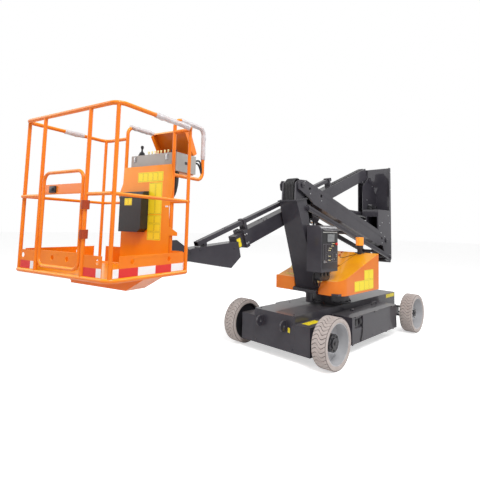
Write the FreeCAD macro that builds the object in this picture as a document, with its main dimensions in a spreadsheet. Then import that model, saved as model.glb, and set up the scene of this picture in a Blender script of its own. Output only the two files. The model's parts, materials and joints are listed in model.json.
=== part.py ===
import FreeCAD, Part
import math
import os
import re
import Sketcher

# Articulating boom lift: a battery-electric, four-wheeled access machine with a riser arm,
# a telescopic main boom and a work platform.
# Millimetres. +X points to the platform end, +Y to the side with the ground controls, +Z up.
# The origin lies on the ground below the middle of the whole machine.
# The machine's own zero, half way between the axles, lies mid_x from it.

# Driving sizes: cell name, value, what it is
SIZES = [
    ("mid_x", -1152, "half way between the axles, from the origin"),
    ("wheelbase", 2320, "axle to axle"),
    ("wheel_y", 671, "wheel's middle plane from the centre line"),
    ("tyre_od", 559, "tyre outside diameter"),
    ("tyre_id", 451, "tyre's seat on the rim"),
    ("tyre_w", 178, "tyre width"),
    ("tyre_round", 14, "rounding of the tyre's shoulders"),
    ("rim_wall", 10, "thickness of the rim barrel and disc"),
    ("rim_lip", 8, "rim barrel's edge inside the tyre's side"),
    ("disc_in", 26, "wheel disc from the inner edge of the barrel"),
    ("hub_r", 98, "drive hub radius"),
    ("hub_out", 84, "drive hub's reach past the disc"),
    ("spindle_r", 30, "spindle radius"),
    ("steer_hub_r", 78, "hub radius of the steered wheels"),
    ("drive_r", 90, "radius of the drive units behind the front wheels"),
    ("drive_l", 70, "length of the drive units behind the front wheels"),
    ("pin_gap", 0.1, "radial running gap of pins and spindles"),
    ("seat_gap", 0.3, "gap between pieces that seat on each other and move"),
    ("safe_gap", 6, "gap between pieces that swing past each other"),
    ("box_w", 617, "central chassis box width"),
    ("box_top", 520, "chassis deck above the ground"),
    ("box_low", 112, "underside of the chassis"),
    ("nose_x", 1345, "front plate from the middle between the axles"),
    ("tail_x", -1403, "rear end of the chassis"),
    ("plate_t", 12, "thickness of heavy plates"),
    ("plate_round", 45, "rounding of the front plate's corners"),
    ("block_w", 1027, "width over the front axle blocks"),
    ("block_top", 435, "top of the front axle blocks"),
    ("block_back", 900, "rear face of the front axle blocks"),
    ("lug_y", 178, "lashing lugs from the centre line"),
    ("lug_z", 395, "height of the lashing lug holes"),
    ("lug_r", 62, "lashing lug radius"),
    ("lug_bore", 17, "lashing lug hole radius"),
    ("lug_t", 24, "lashing lug thickness"),
    ("lug_reach", 42, "lashing lug hole from the front plate"),
    ("tail_reach", 60, "rear lashing lug hole from the chassis' end"),
    ("pod_front", 570, "battery box front end"),
    ("pod_back", -755, "battery box rear end"),
    ("pod_y", 600, "battery box outer side"),
    ("pod_top", 443, "battery box top with its lid"),
    ("pod_low", 118, "battery box underside"),
    ("pod_wall", 5, "battery box wall"),
    ("pod_in", 345, "inner edge of the battery box lid"),
    ("lid_t", 5, "lid sheet thickness"),
    ("hinge_r", 7, "radius of the lid's hinge barrels"),
    ("hinge_pin_r", 3, "radius of the lid's hinge pins"),
    ("hinge_l", 60, "length of a hinge barrel on the lid"),
    ("knuckle_l", 28, "length of a hinge barrel on the box"),
    ("grip_r", 7, "radius of the lid handle's bar"),
    ("grip_x", -470, "lid handle's middle"),
    ("grip_l", 140, "lid handle's length"),
    ("grip_h", 38, "lid handle's middle line above the lid"),
    ("grip_bend", 14, "bend radius of the lid handle"),
    ("grip_in", 45, "lid handle from the lid's inner edge"),
    ("kingpin_y", 520, "kingpin from the centre line"),
    ("kingpin_r", 18, "kingpin radius"),
    ("ring_x", 100, "slew axis from the middle between the axles"),
    ("ring_r", 270, "slew ring radius"),
    ("ring_top", 620, "top of the slew ring"),
    ("table_low", 692, "underside of the turntable plate"),
    ("table_t", 20, "turntable plate thickness"),
    ("table_w", 940, "turntable plate width"),
    ("table_front", 625, "turntable plate's front edge from the slew axis"),
    ("table_wide", 574, "where the turntable plate narrows, from the slew axis"),
    ("table_back", -465, "turntable plate's rear edge from the slew axis"),
    ("hood_low", 684, "hood's lower edge"),
    ("hood_y", 500, "hood's outer side"),
    ("hood_step", 20, "front edge of the hoods' bridge behind the mast, from the slew axis"),
    ("hood_in", 186, "hood's inner side"),
    ("hood_nose", 862, "hood's top at the front"),
    ("hood_tail", 1183, "hood's top at the rear"),
    ("hood_front", 585, "hood's front from the slew axis"),
    ("hood_flat", 540, "where the hood's slope starts, from the slew axis"),
    ("hood_back", -498, "hood's rear from the slew axis"),
    ("hood_t", 5, "hood wall"),
    ("hood_round", 190, "rounding of the left hood's front corner"),
    ("lamp_x", 46, "beacon from the hood's rear"),
    ("lamp_y", 232, "beacon from the centre line"),
    ("lamp_r", 57, "beacon radius"),
    ("lamp_h", 120, "beacon height"),
    ("mast_base_w", 340, "mast width at its foot"),
    ("mast_top_w", 272, "mast width at its head"),
    ("mast_foot_back", 180, "mast foot's rear from the slew axis"),
    ("mast_foot_front", 567, "mast foot's front from the slew axis"),
    ("mast_knee_x", 720, "mast's rear edge at its knee from the slew axis"),
    ("mast_knee_z", 1560, "height of the mast's rear knee"),
    ("mast_head_back", 786, "mast head's rear from the slew axis"),
    ("mast_head_front", 1000, "mast head's front from the slew axis"),
    ("mast_head_z", 1890, "height of the mast head's rear edge"),
    ("mast_head_drop", 36, "how far the mast head falls to the front"),
    ("mast_wall", 10, "mast plate thickness"),
    ("panel_back", 470, "ground control box rear end from the slew axis"),
    ("panel_front", 850, "ground control box front end from the slew axis"),
    ("panel_low", 990, "ground control box underside"),
    ("panel_top", 1560, "ground control box top"),
    ("panel_y", 190, "ground control box inner side"),
    ("panel_w", 210, "ground control box width"),
    ("panel_round", 60, "rounding of the ground control box"),
    ("arm_pin_x", 891, "riser arm's front pin from the slew axis"),
    ("arm_pin_z", 2063, "height of the riser arm's front pin"),
    ("arm_len", 2553, "riser arm between its pins"),
    ("arm_tilt", 16.24, "riser arm's rest slope, degrees"),
    ("arm_w", 300, "riser arm width"),
    ("arm_up", 90, "riser arm's top above its pin line"),
    ("arm_down", 150, "riser arm's underside below its pin line"),
    ("arm_wall", 8, "riser arm wall"),
    ("arm_head", 300, "front end of the riser arm's box behind its pin"),
    ("arm_tail", 223, "rear end of the riser arm's box ahead of its pin"),
    ("cheek_t", 20, "thickness of the riser arm's cheeks"),
    ("main_pin_r", 26, "main pin radius"),
    ("link_pin_r", 20, "link pin radius"),
    ("link_back", 121, "link pins behind the arm's pins"),
    ("link_drop", 284, "link pins below the arm's pins"),
    ("link_in", 146, "inner side of the link bars"),
    ("link_t", 20, "link bar thickness"),
    ("link_h", 70, "link bar height"),
    ("frame_w", 224, "upright's lower width"),
    ("frame_far", 350, "upright's far side from the centre line"),
    ("frame_back", 295, "rear web ahead face behind the arm's pin"),
    ("frame_top", 1291, "upright's top above the arm's pin"),
    ("frame_deck", 520, "upright's cross box top above the arm's pin"),
    ("frame_front", 210, "upright's front edge ahead of the arm's pin"),
    ("frame_far_front", 25, "far cheek's front edge ahead of the arm's pin"),
    ("boom_y", -255, "main boom from the centre line"),
    ("boom_back", 40, "boom pin behind the arm's rear pin"),
    ("boom_rise", 1051, "boom pin above the arm's rear pin"),
    ("boom_tilt", 20.3, "main boom's rest slope, degrees"),
    ("boom_w", 150, "main boom width"),
    ("boom_h", 186, "main boom height"),
    ("boom_axis", 141, "main boom's middle above its pin"),
    ("boom_len", 3348, "main boom's mouth from its pin"),
    ("boom_wall", 10, "main boom wall"),
    ("collar_l", 60, "length of the mouth collar"),
    ("collar_t", 13, "thickness of the mouth collar"),
    ("lift_x", 1520, "boom cylinder lug from the boom's pin"),
    ("lift_z", -30, "boom cylinder lug below the boom's pin line"),
    ("fly_w", 118, "fly boom width"),
    ("fly_h", 150, "fly boom height"),
    ("fly_start", 1500, "fly boom's rear end from the boom's pin"),
    ("fly_out", 120, "fly boom standing out of the mouth at rest"),
    ("fly_wall", 8, "fly boom wall"),
    ("hose_r", 11, "radius of the hoses over the mast"),
    ("hose_bend", 85, "bend radius of the hoses over the mast"),
    ("hose_step", 24, "hose to hose across the mast"),
    ("line_r", 8, "radius of the hoses under the levelling bracket"),
    ("tray_w", 70, "cable tray width"),
    ("tray_h", 50, "cable tray height"),
    ("tray_low", 300, "cable tray's underside above the boom's pin line"),
    ("tray_start", 1150, "cable tray's rear end from the boom's pin"),
    ("tray_end", 3990, "cable tray's front end from the boom's pin"),
    ("nose_w", 170, "boom nose width"),
    ("nose_post", 430, "tray post ahead of the fly boom's end"),
    ("level_x", 758, "levelling pin ahead of the fly boom's end"),
    ("level_z", -119, "levelling pin below the fly boom's end"),
    ("turner_x", 440, "rotator axis ahead of the levelling pin"),
    ("turner_r", 85, "rotator radius"),
    ("turner_t", 12, "rotator's mounting face from its drum"),
    ("turner_low", 1122, "underside of the rotator"),
    ("turner_top", 1400, "top of the rotator"),
    ("cage_yaw", 12.9, "how far the platform is turned at rest, degrees"),
    ("cage_back", 267, "platform's rear rail from the rotator axis"),
    ("cage_len", 759, "platform between front and rear rails"),
    ("cage_side", 262, "platform's middle from the rotator axis"),
    ("cage_w", 1047, "platform between side rails"),
    ("cage_low", 1161, "height of the platform's lower rail"),
    ("cage_h", 1120, "platform's top rail above the lower one"),
    ("cage_mid", 540, "mid rail above the lower rail"),
    ("rail_r", 15, "rail tube radius"),
    ("post_r", 13.5, "platform post radius"),
    ("mid_r", 12, "mid rail radius"),
    ("rail_bend", 70, "bend radius of the rails"),
    ("post_in", 21, "corner posts inside the rails' lines"),
    ("toe_h", 150, "toe board height"),
    ("toe_t", 3, "toe board thickness"),
    ("toe_hole_r", 17, "radius of the holes in the toe boards"),
    ("toe_hole_z", 110, "height of the toe boards' holes above the lower rail"),
    ("floor_t", 5, "platform floor thickness"),
    ("gate_w", 516, "gate opening between its posts"),
    ("gate_in", 36, "gate's tube inside its post"),
    ("gate_low", 47, "gate's lower tube above the lower rail"),
    ("gate_h", 652, "gate height"),
    ("gate_bend", 60, "bend radius of the gate tube"),
    ("desk_w", 560, "console panel width"),
    ("desk_y", -240, "console panel's right edge from the platform's middle"),
    ("desk_top", 2012, "console panel's top"),
    ("desk_t", 3, "console sheet thickness"),
    ("desk_in", 18, "console panel ahead of the rear rail's line"),
    ("file_y", 62, "document box from the console panel's edge"),
    ("file_w", 257, "document box width"),
    ("file_t", 85, "document box depth"),
    ("file_low", 289, "document box above the lower rail"),
    ("file_h", 345, "document box height"),
    ("case_w", 530, "control box width"),
    ("case_y", 65, "control box from the platform's middle"),
    ("case_l", 280, "control box depth"),
    ("case_low", 1962, "control box underside"),
    ("case_h", 158, "control box height"),
    ("cover_back", 246, "cover's hinge behind the rear rail"),
    ("cover_gap", 10, "cover's hinge above the control box"),
    ("cover_pin_r", 3, "cover's hinge pin radius"),
    ("cover_y", 128, "cover from the platform's middle"),
    ("cover_w", 400, "cover width"),
    ("cover_l", 220, "cover length from its hinge"),
    ("cover_h", 68, "cover's height over its hinge at the front when shut"),
    ("cover_t", 3, "cover sheet thickness"),
    ("cover_open", 56, "how far the cover stands open, degrees"),
    ("loop_l", 390, "guard loops behind the rear rail"),
    ("loop_r", 15.5, "guard loop tube radius"),
    ("loop_low", 764, "guard loops' lower tube above the lower rail"),
    ("loop_high", 1234, "guard loops' upper tube above the lower rail"),
    ("loop_far", -240, "right guard loop from the platform's middle"),
    ("loop_near", 320, "left guard loop from the platform's middle"),
    ("ram_r", 45, "lift cylinder barrel radius"),
    ("stem_r", 26, "lift cylinder rod radius"),
    ("ram_pin_r", 22, "lift cylinder foot pin radius"),
    ("ram_foot_x", 100, "riser cylinder foot from the slew axis"),
    ("ram_foot_z", 850, "height of the riser cylinder foot"),
    ("ram_eye_x", 560, "riser cylinder eye behind the riser arm's front pin"),
    ("ram_eye_z", 285, "riser cylinder eye below the riser arm's pin line"),
    ("ram_gap", 108, "riser cylinder barrel's mouth short of the eye"),
    ("ram_inner", 91, "riser cylinder rod's inner end from the foot"),
    ("lift_foot_x", -60, "boom cylinder foot from the upright's arm pin"),
    ("lift_foot_z", 440, "boom cylinder foot above the upright's arm pin"),
    ("lift_gap", 206, "boom cylinder barrel's mouth short of the eye"),
    ("lift_inner", 470, "boom cylinder rod's inner end from the foot"),
]

document = FreeCAD.newDocument("boom_lift")
sheet = document.addObject("Spreadsheet::Sheet", "Size")
for row, (alias, value, meaning) in enumerate(SIZES, start=1):
    sheet.set(f"A{row}", meaning)
    sheet.set(f"B{row}", str(value))
    sheet.setAlias(f"B{row}", alias)
document.recompute()

NAMES = {alias for alias, value, meaning in SIZES}
VECTOR = FreeCAD.Vector
TURN = {
    "X": FreeCAD.Rotation(VECTOR(0, 1, 0), 90),
    "Y": FreeCAD.Rotation(VECTOR(1, 0, 0), -90),
    "Z": FreeCAD.Rotation(),
}
pieces = {}


def size(alias):
    """A driving size as a number."""
    return float(sheet.get(alias))


def bound(text):
    """Text on cell names as an expression on the sheet."""
    return re.sub(r"[a-z_]+", lambda word: f"Size.{word.group()}" if word.group() in NAMES else word.group(), str(text))


def tie(thing, **sizes):
    """Bind properties of an object to expressions."""
    for name, text in sizes.items():
        thing.setExpression(name.replace("__", "."), bound(text))
    return thing


def box(x, y, z):
    """Box between pairs of texts on each axis."""
    block = document.addObject("Part::Box", "block")
    for side, axis, (low, high) in zip(("Length", "Width", "Height"), "xyz", (x, y, z)):
        block.setExpression(side, bound(f"({high}) - ({low})"))
        block.setExpression(f"Placement.Base.{axis}", bound(low))
    return block


def rod(axis, at, radius, low, high):
    """Round bar along an axis; at gives its other two coordinates in X, Y, Z order."""
    bar = document.addObject("Part::Cylinder", "bar")
    bar.Placement = FreeCAD.Placement(VECTOR(), TURN[axis])
    across = [name for name in "XYZ" if name != axis]
    for name, text in zip(across, at):
        bar.setExpression(f"Placement.Base.{name.lower()}", bound(text))
    bar.setExpression(f"Placement.Base.{axis.lower()}", bound(low))
    tie(bar, Radius=radius, Height=f"({high}) - ({low})")
    return bar


def prism(plane, outline, low, high):
    """Straight-sided outline of (across, up) texts, pushed from low to high across its plane."""
    sketch = document.addObject("Sketcher::SketchObject", "outline")
    count = len(outline)
    corners = [VECTOR(math.cos(2 * math.pi * i / count), math.sin(2 * math.pi * i / count)) for i in range(count)]
    for i in range(count):
        sketch.addGeometry(Part.LineSegment(corners[i], corners[(i + 1) % count]))
    for i in range(count):
        sketch.addConstraint(Sketcher.Constraint("Coincident", i, 2, (i + 1) % count, 1))
    for i, (across, up) in enumerate(outline):
        for kind, text in (("DistanceX", across), ("DistanceY", up)):
            number = sketch.addConstraint(Sketcher.Constraint(kind, -1, 1, i, 1, 1.0))
            sketch.setExpression(f"Constraints[{number}]", bound(text))
    turn = {"XY": (VECTOR(1, 0, 0), 0), "XZ": (VECTOR(1, 0, 0), 90), "YZ": (VECTOR(1, 1, 1), 120)}[plane]
    sketch.Placement = FreeCAD.Placement(VECTOR(), FreeCAD.Rotation(*turn))
    start = {"XY": ("z", low), "XZ": ("y", high), "YZ": ("x", low)}[plane]
    sketch.setExpression(f"Placement.Base.{start[0]}", bound(start[1]))
    push = document.addObject("Part::Extrusion", "push")
    push.Base = sketch
    push.DirMode = "Normal"
    push.Solid = True
    tie(push, LengthFwd=f"({high}) - ({low})")
    return push


def fuse(*solids):
    """One solid from several."""
    if len(solids) == 1:
        return solids[0]
    union = document.addObject("Part::MultiFuse", "union")
    union.Shapes = list(solids)
    union.Refine = True
    return union


def cut(base, *tools):
    """A solid less the others."""
    rest = document.addObject("Part::Cut", "rest")
    rest.Base = base
    rest.Tool = fuse(*tools)
    rest.Refine = True
    return rest


def common(first, second):
    """What two solids share."""
    shared = document.addObject("Part::Common", "shared")
    shared.Base = first
    shared.Tool = second
    shared.Refine = True
    return shared


def tube(points, bends, radius):
    """Round tube along straight runs joined by tangent arcs; a bend for each inner point."""
    edges = []
    start = points[0]
    for before, corner, after, bend in zip(points, points[1:], points[2:], bends):
        back = (before - corner).normalize()
        ahead = (after - corner).normalize()
        half = back.getAngle(ahead) / 2
        reach = bend / math.tan(half)
        first = corner + back * reach
        last = corner + ahead * reach
        inward = (back + ahead).normalize()
        middle = corner + inward * (bend / math.sin(half) - bend)
        edges.append(Part.LineSegment(start, first).toShape())
        edges.append(Part.Arc(first, middle, last).toShape())
        start = last
    edges.append(Part.LineSegment(start, points[-1]).toShape())
    path = Part.Wire(edges)
    section = Part.Wire(Part.makeCircle(radius, points[0], points[1] - points[0]))
    run = document.addObject("Part::Feature", "tube")
    run.Shape = path.makePipeShell([section], True, False)
    return run


def place(name, solid, spot=("0", "0", "0"), axis=None, angle="0"):
    """Name a finished sub-part and put it at its spot in the machine, turned about an axis."""
    if solid.TypeId not in ("Part::MultiFuse", "Part::Cut", "Part::Common"):
        solid = held(solid)
    solid.Label = name
    if axis is not None:
        solid.Placement = FreeCAD.Placement(VECTOR(), FreeCAD.Rotation(VECTOR(*axis), 1))
        solid.setExpression("Placement.Rotation.Angle", bound(angle))
    for letter, text in zip("xyz", spot):
        solid.setExpression(f"Placement.Base.{letter}", bound(text))
    pieces[name] = solid
    return solid


def held(solid):
    """A solid held in a compound, so that it can be placed as a whole."""
    group = document.addObject("Part::Compound", "group")
    group.Links = [solid]
    return group


# Places that several sub-parts share
SLEW = "mid_x + ring_x"
ARM_X = f"{SLEW} + arm_pin_x"
FRAME_X = f"{ARM_X} - arm_len*cos(arm_tilt)"
FRAME_Z = "arm_pin_z - arm_len*sin(arm_tilt)"
BOOM_X = f"{FRAME_X} - boom_back"
BOOM_Z = f"{FRAME_Z} + boom_rise"
FLY = "boom_len + fly_out"
FLY_X = f"{BOOM_X} + ({FLY})*cos(boom_tilt) + boom_axis*sin(boom_tilt)"
FLY_Z = f"{BOOM_Z} - ({FLY})*sin(boom_tilt) + boom_axis*cos(boom_tilt)"
LEVEL_X = f"{FLY_X} + level_x"
LEVEL_Z = f"{FLY_Z} + level_z"
TURNER_X = f"{LEVEL_X} + turner_x"


# Chassis: central box with a front plate and lashing lugs at both ends
def chassis_frame():
    half = "box_w/2"
    body = box(("tail_x", "nose_x - plate_t"), (f"-{half}", half), ("box_low", "box_top"))
    plate = prism("YZ", [(f"-{half}", "box_low"), (half, "box_low"), (half, "box_top - plate_round"),
                         (f"{half} - plate_round*0.3", "box_top - plate_round*0.3"),
                         (f"{half} - plate_round", "box_top"), (f"-{half} + plate_round", "box_top"),
                         (f"-{half} + plate_round*0.3", "box_top - plate_round*0.3"),
                         (f"-{half}", "box_top - plate_round")], "nose_x - plate_t", "nose_x")
    solids = [body, plate]
    drilled = []
    for y in ("-lug_y", "lug_y"):
        ear = (f"{y} - lug_t/2", f"{y} + lug_t/2")
        for root, hole in (("nose_x", "nose_x + lug_reach"), ("tail_x", "tail_x - tail_reach")):
            span = (root, hole) if root == "nose_x" else (hole, root)
            solids.append(rod("Y", (hole, "lug_z"), "lug_r", *ear))
            solids.append(box(span, ear, ("lug_z - lug_r", "lug_z + lug_r")))
            drilled.append(rod("Y", (hole, "lug_z"), "lug_bore", f"{y} - lug_t", f"{y} + lug_t"))
    return cut(fuse(*solids), *drilled)


place("chassis_frame", chassis_frame(), ("mid_x", "0", "0"))
place("slew_ring", fuse(rod("Z", ("0", "0"), "ring_r", "box_top", "ring_top"),
                        rod("Z", ("0", "0"), "ring_r + 25", "box_top", "box_top + 14")),
      (SLEW, "0", "0"))


def mirrored(side):
    """Gives spans across the machine on its left, or on its right for side -1."""
    def span(low, high):
        return (low, high) if side > 0 else (f"-({high})", f"-({low})")
    return span


# Battery boxes: open-topped shells under lids that are hinged on the outer edge
HINGE_Y = "pod_y + hinge_r + seat_gap"
HINGE_Z = "pod_top - hinge_r"
HINGES = ["pod_back + 135", "(pod_back + pod_front)/2", "pod_front - 135"]


def battery_box(side):
    span = mirrored(side)
    axis = (span(HINGE_Y, HINGE_Y)[0], HINGE_Z)
    shell = box(("pod_back", "pod_front"), span("box_w/2", "pod_y"), ("pod_low", "pod_top - lid_t - seat_gap"))
    inside = box(("pod_back + pod_wall", "pod_front - pod_wall"), span("pod_in + 10", "pod_y - pod_wall"),
                 ("pod_low + pod_wall", "pod_top"))
    solids = [cut(shell, inside)]
    if side > 0:
        pocket = box(("285", "505"), ("pod_y - 25", "pod_y"), ("295", "435"))
        mouth = box(("290", "500"), ("pod_y - 20", "pod_y + 1"), ("300", "430"))
        solids = [cut(fuse(*solids, pocket), mouth)]
    for x in ("pod_back + 60", "pod_back + 300", "pod_front - 60"):
        solids.append(box((f"{x} - 15", f"{x} + 15"), span("pod_y - 30", "pod_y - 22"), ("pod_low - 22", "pod_low")))
    for x in HINGES:
        inner, outer = ("hinge_l/2 + 2", "hinge_l/2 + 2 + knuckle_l")
        solids.append(rod("X", axis, "hinge_pin_r", f"{x} - ({outer})", f"{x} + {outer}"))
        for low, high in ((f"{x} - ({outer})", f"{x} - ({inner})"), (f"{x} + {inner}", f"{x} + {outer}")):
            solids.append(rod("X", axis, "hinge_r", low, high))
            solids.append(box((low, high), span("pod_y", HINGE_Y), ("pod_top - 2*hinge_r", HINGE_Z)))
    return fuse(*solids)


def battery_lid(side):
    span = mirrored(side)
    axis = (span(HINGE_Y, HINGE_Y)[0], HINGE_Z)
    solids = [box(("pod_back", "pod_front"), span("pod_in", "pod_y"), ("pod_top - lid_t", "pod_top"))]
    bores = []
    for x in HINGES:
        barrel = (f"{x} - hinge_l/2", f"{x} + hinge_l/2")
        solids.append(rod("X", axis, "hinge_r", *barrel))
        solids.append(box(barrel, span("pod_y - lid_t", HINGE_Y), ("pod_top - lid_t", "pod_top")))
        bores.append(rod("X", axis, "hinge_pin_r + pin_gap", f"{x} - hinge_l", f"{x} + hinge_l"))
    y = side * (size("pod_in") + size("grip_in"))
    foot = size("pod_top") - size("lid_t") / 2
    height = size("pod_top") + size("grip_h")
    rear = size("grip_x") - size("grip_l") / 2
    front = size("grip_x") + size("grip_l") / 2
    path = [VECTOR(rear, y, foot), VECTOR(rear, y, height), VECTOR(front, y, height), VECTOR(front, y, foot)]
    solids.append(tube(path, [size("grip_bend")] * 2, size("grip_r")))
    solids.append(box(("140", "185"), span("pod_in + 15", "pod_in + 70"), ("pod_top", "pod_top + 14")))
    return cut(fuse(*solids), *bores)


for word, side in (("left", 1), ("right", -1)):
    place(f"battery_box_{word}", battery_box(side), ("mid_x", "0", "0"))
    place(f"battery_lid_{word}", battery_lid(side), ("mid_x", "0", "0"))


# Wheels, built about the wheel's middle with the outer side towards +Y
def ring(outer, inner, low, high):
    return cut(rod("Y", ("0", "0"), outer, low, high), rod("Y", ("0", "0"), inner, f"{low} - 1", f"{high} + 1"))


def tyre():
    half = "tyre_w/2"
    tread = ring("tyre_od/2", "tyre_id/2", f"-{half} + tyre_round", f"{half} - tyre_round")
    sides = ring("tyre_od/2 - tyre_round", "tyre_id/2", f"-{half}", half)
    return fuse(tread, sides)


def rim(driven):
    radius = "hub_r" if driven else "steer_hub_r"
    edge = "tyre_w/2 - rim_lip"
    barrel = ring("tyre_id/2 - seat_gap", "tyre_id/2 - rim_wall", f"-({edge})", edge)
    disc_low = f"-({edge}) + disc_in"
    disc = rod("Y", ("0", "0"), "tyre_id/2 - rim_wall/2", disc_low, f"{disc_low} + rim_wall")
    hub = rod("Y", ("0", "0"), radius, disc_low, f"{disc_low} + hub_out")
    cap = rod("Y", ("0", "0"), f"{radius}*0.6", disc_low, f"{disc_low} + hub_out + 14")
    bore = rod("Y", ("0", "0"), "spindle_r + pin_gap", f"-({edge})", f"{disc_low} + hub_out - 20")
    return cut(fuse(barrel, disc, hub, cap), bore)


WHEELS = [("front_left", 1, 1), ("front_right", 1, -1), ("rear_left", -1, 1), ("rear_right", -1, -1)]
for word, end, side in WHEELS:
    spot = (f"mid_x + {end}*wheelbase/2", f"{side}*wheel_y", "tyre_od/2")
    turn = (0, 0, 1)
    angle = "0" if side > 0 else "180"
    place(f"tyre_{word}", tyre(), spot, turn, angle)
    place(f"rim_{word}", rim(end > 0), spot, turn, angle)


# Spindles: fixed on the front axle, on steered knuckles at the rear
INNER_DISC = "wheel_y - tyre_w/2 + rim_lip + disc_in"


def spindle_reach():
    return f"{INNER_DISC} + hub_out - 22"


def front_axle():
    solids = []
    for side in (1, -1):
        span = mirrored(side)
        solids.append(box(("block_back", "nose_x"), span("box_w/2", "block_w/2"), ("box_low", "block_top")))
        solids.append(rod("Y", ("wheelbase/2", "tyre_od/2"), "spindle_r", *span("block_w/2 - 5", spindle_reach())))
        solids.append(rod("Y", ("wheelbase/2", "tyre_od/2"), "drive_r", *span("block_w/2 - 5", "block_w/2 + drive_l")))
    return fuse(*solids)


def rear_axle():
    centre = "-wheelbase/2"
    web = "kingpin_y - 90"
    solids = []
    drilled = []
    for side in (1, -1):
        span = mirrored(side)
        solids.append(box((f"{centre} - 60", f"{centre} + 60"), span("box_w/2", web), ("tyre_od/2 - 55", "tyre_od/2 + 55")))
        solids.append(box((f"{centre} - 60", f"{centre} + 60"), span(web, f"{web} + 20"), ("tyre_od/2 - 75", "tyre_od/2 + 75")))
        for low in ("tyre_od/2 - 75", "tyre_od/2 + 55"):
            solids.append(box((f"{centre} - 40", f"{centre} + 40"), span(f"{web} + 20", "kingpin_y + 40"), (low, f"{low} + 20")))
        drilled.append(rod("Z", (centre, span("kingpin_y", "kingpin_y")[0]), "kingpin_r", "box_low", "tyre_od/2 + 100"))
    return cut(fuse(*solids), *drilled)


place("front_axle", front_axle(), ("mid_x", "0", "0"))
place("rear_axle", rear_axle(), ("mid_x", "0", "0"))


def knuckle(side):
    span = mirrored(side)
    y = "kingpin_y" if side > 0 else "-kingpin_y"
    gap = "tyre_od/2 - 55 + seat_gap"
    top = "tyre_od/2 + 55 - seat_gap"
    pin = rod("Z", ("0", y), "kingpin_r - pin_gap", "tyre_od/2 - 74", "tyre_od/2 + 74")
    post = rod("Z", ("0", y), "kingpin_r + 17", gap, top)
    axle = rod("Y", ("0", "tyre_od/2"), "spindle_r", *span("kingpin_y", spindle_reach()))
    flange = rod("Y", ("0", "tyre_od/2"), "spindle_r*1.6", *span("kingpin_y", "kingpin_y + 66"))
    steer = box(("0", "110"), span("kingpin_y - 15", "kingpin_y + 15"), ("tyre_od/2 - 10", "tyre_od/2 + 10"))
    return fuse(pin, post, axle, flange, steer)


for word, side in (("left", 1), ("right", -1)):
    place(f"knuckle_{word}", knuckle(side), ("mid_x - wheelbase/2", "0", "0"))


# Turntable plate with the mast's foot flange and the riser cylinder's foot
place("turntable", fuse(box(("table_back", "table_wide"), ("-table_w/2", "table_w/2"), ("table_low", "table_low + table_t")),
                        box(("table_wide", "table_front"), ("-hood_in + 6", "hood_in - 6"), ("table_low", "table_low + table_t")),
                        box(("mast_foot_back - 60", "mast_foot_front + 60"), ("-mast_base_w/2 - 12", "mast_base_w/2 + 12"),
                            ("table_low + table_t", "table_low + table_t + 18")),
                        rod("Z", ("0", "0"), "ring_r - 20", "ring_top + seat_gap", "table_low"),
                        rod("Z", ("505", "0"), "60", "table_low - 20", "table_low"),
                        rod("Z", ("505", "0"), "46", "table_low - 140", "table_low")),
      (SLEW, "0", "0"))
FOOT_Z = "table_low + table_t + 18"


def mast():
    side_view = prism("XZ", [("mast_foot_back", FOOT_Z), ("mast_foot_front", FOOT_Z),
                             ("mast_head_front", "mast_head_z - mast_head_drop"), ("mast_head_back", "mast_head_z"),
                             ("mast_knee_x", "mast_knee_z")], "-mast_base_w/2", "mast_base_w/2")
    front_view = prism("YZ", [("-mast_base_w/2", FOOT_Z), ("mast_base_w/2", FOOT_Z),
                              ("mast_top_w/2", "mast_head_z"), ("-mast_top_w/2", "mast_head_z")],
                       "mast_foot_back", "mast_head_front")
    slope = "mast_head_drop/(mast_head_front - mast_head_back)"
    flange = prism("XZ", [("mast_head_back - 8", f"mast_head_z + 8*{slope}"),
                          ("mast_head_front + 18", f"mast_head_z - mast_head_drop - 18*{slope}"),
                          ("mast_head_front + 21", f"mast_head_z - mast_head_drop - 18*{slope} + 16"),
                          ("mast_head_back - 5", f"mast_head_z + 8*{slope} + 16")], "-150", "150")
    solids = [common(side_view, front_view), flange]
    for low, high in (("-112", "-88"), ("88", "112")):
        solids.append(prism("XZ", [("mast_head_back + 5", "mast_head_z - 5"),
                                   ("mast_head_front - 12", "mast_head_z - mast_head_drop"),
                                   ("mast_head_front - 25", "arm_pin_z + 30"),
                                   ("arm_pin_x + 35", "arm_pin_z + 62"), ("arm_pin_x - 35", "arm_pin_z + 62"),
                                   ("arm_pin_x - 66", "arm_pin_z + 10")], low, high))
    solids.append(rod("Y", ("arm_pin_x", "arm_pin_z"), "main_pin_r", "-158", "158"))
    link_x = "arm_pin_x - link_back"
    link_z = "arm_pin_z - link_drop"
    solids.append(rod("Y", (link_x, link_z), "link_pin_r", "-(link_in + link_t + 6)", "link_in + link_t + 6"))
    solids.append(rod("Y", (link_x, link_z), "44", "-(link_in - 2)", "link_in - 2"))
    for low, high in (("-74", "-56"), ("56", "74")):
        solids.append(prism("XZ", [("60", FOOT_Z), ("mast_foot_back + 40", FOOT_Z), ("mast_foot_back + 90", "860"),
                                   ("130", "885"), ("75", "885")], low, high))
    solids.append(rod("Y", ("ram_foot_x", "ram_foot_z"), "ram_pin_r", "-80", "80"))
    return fuse(*solids)


place("mast", mast(), (SLEW, "0", "0"))


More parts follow.
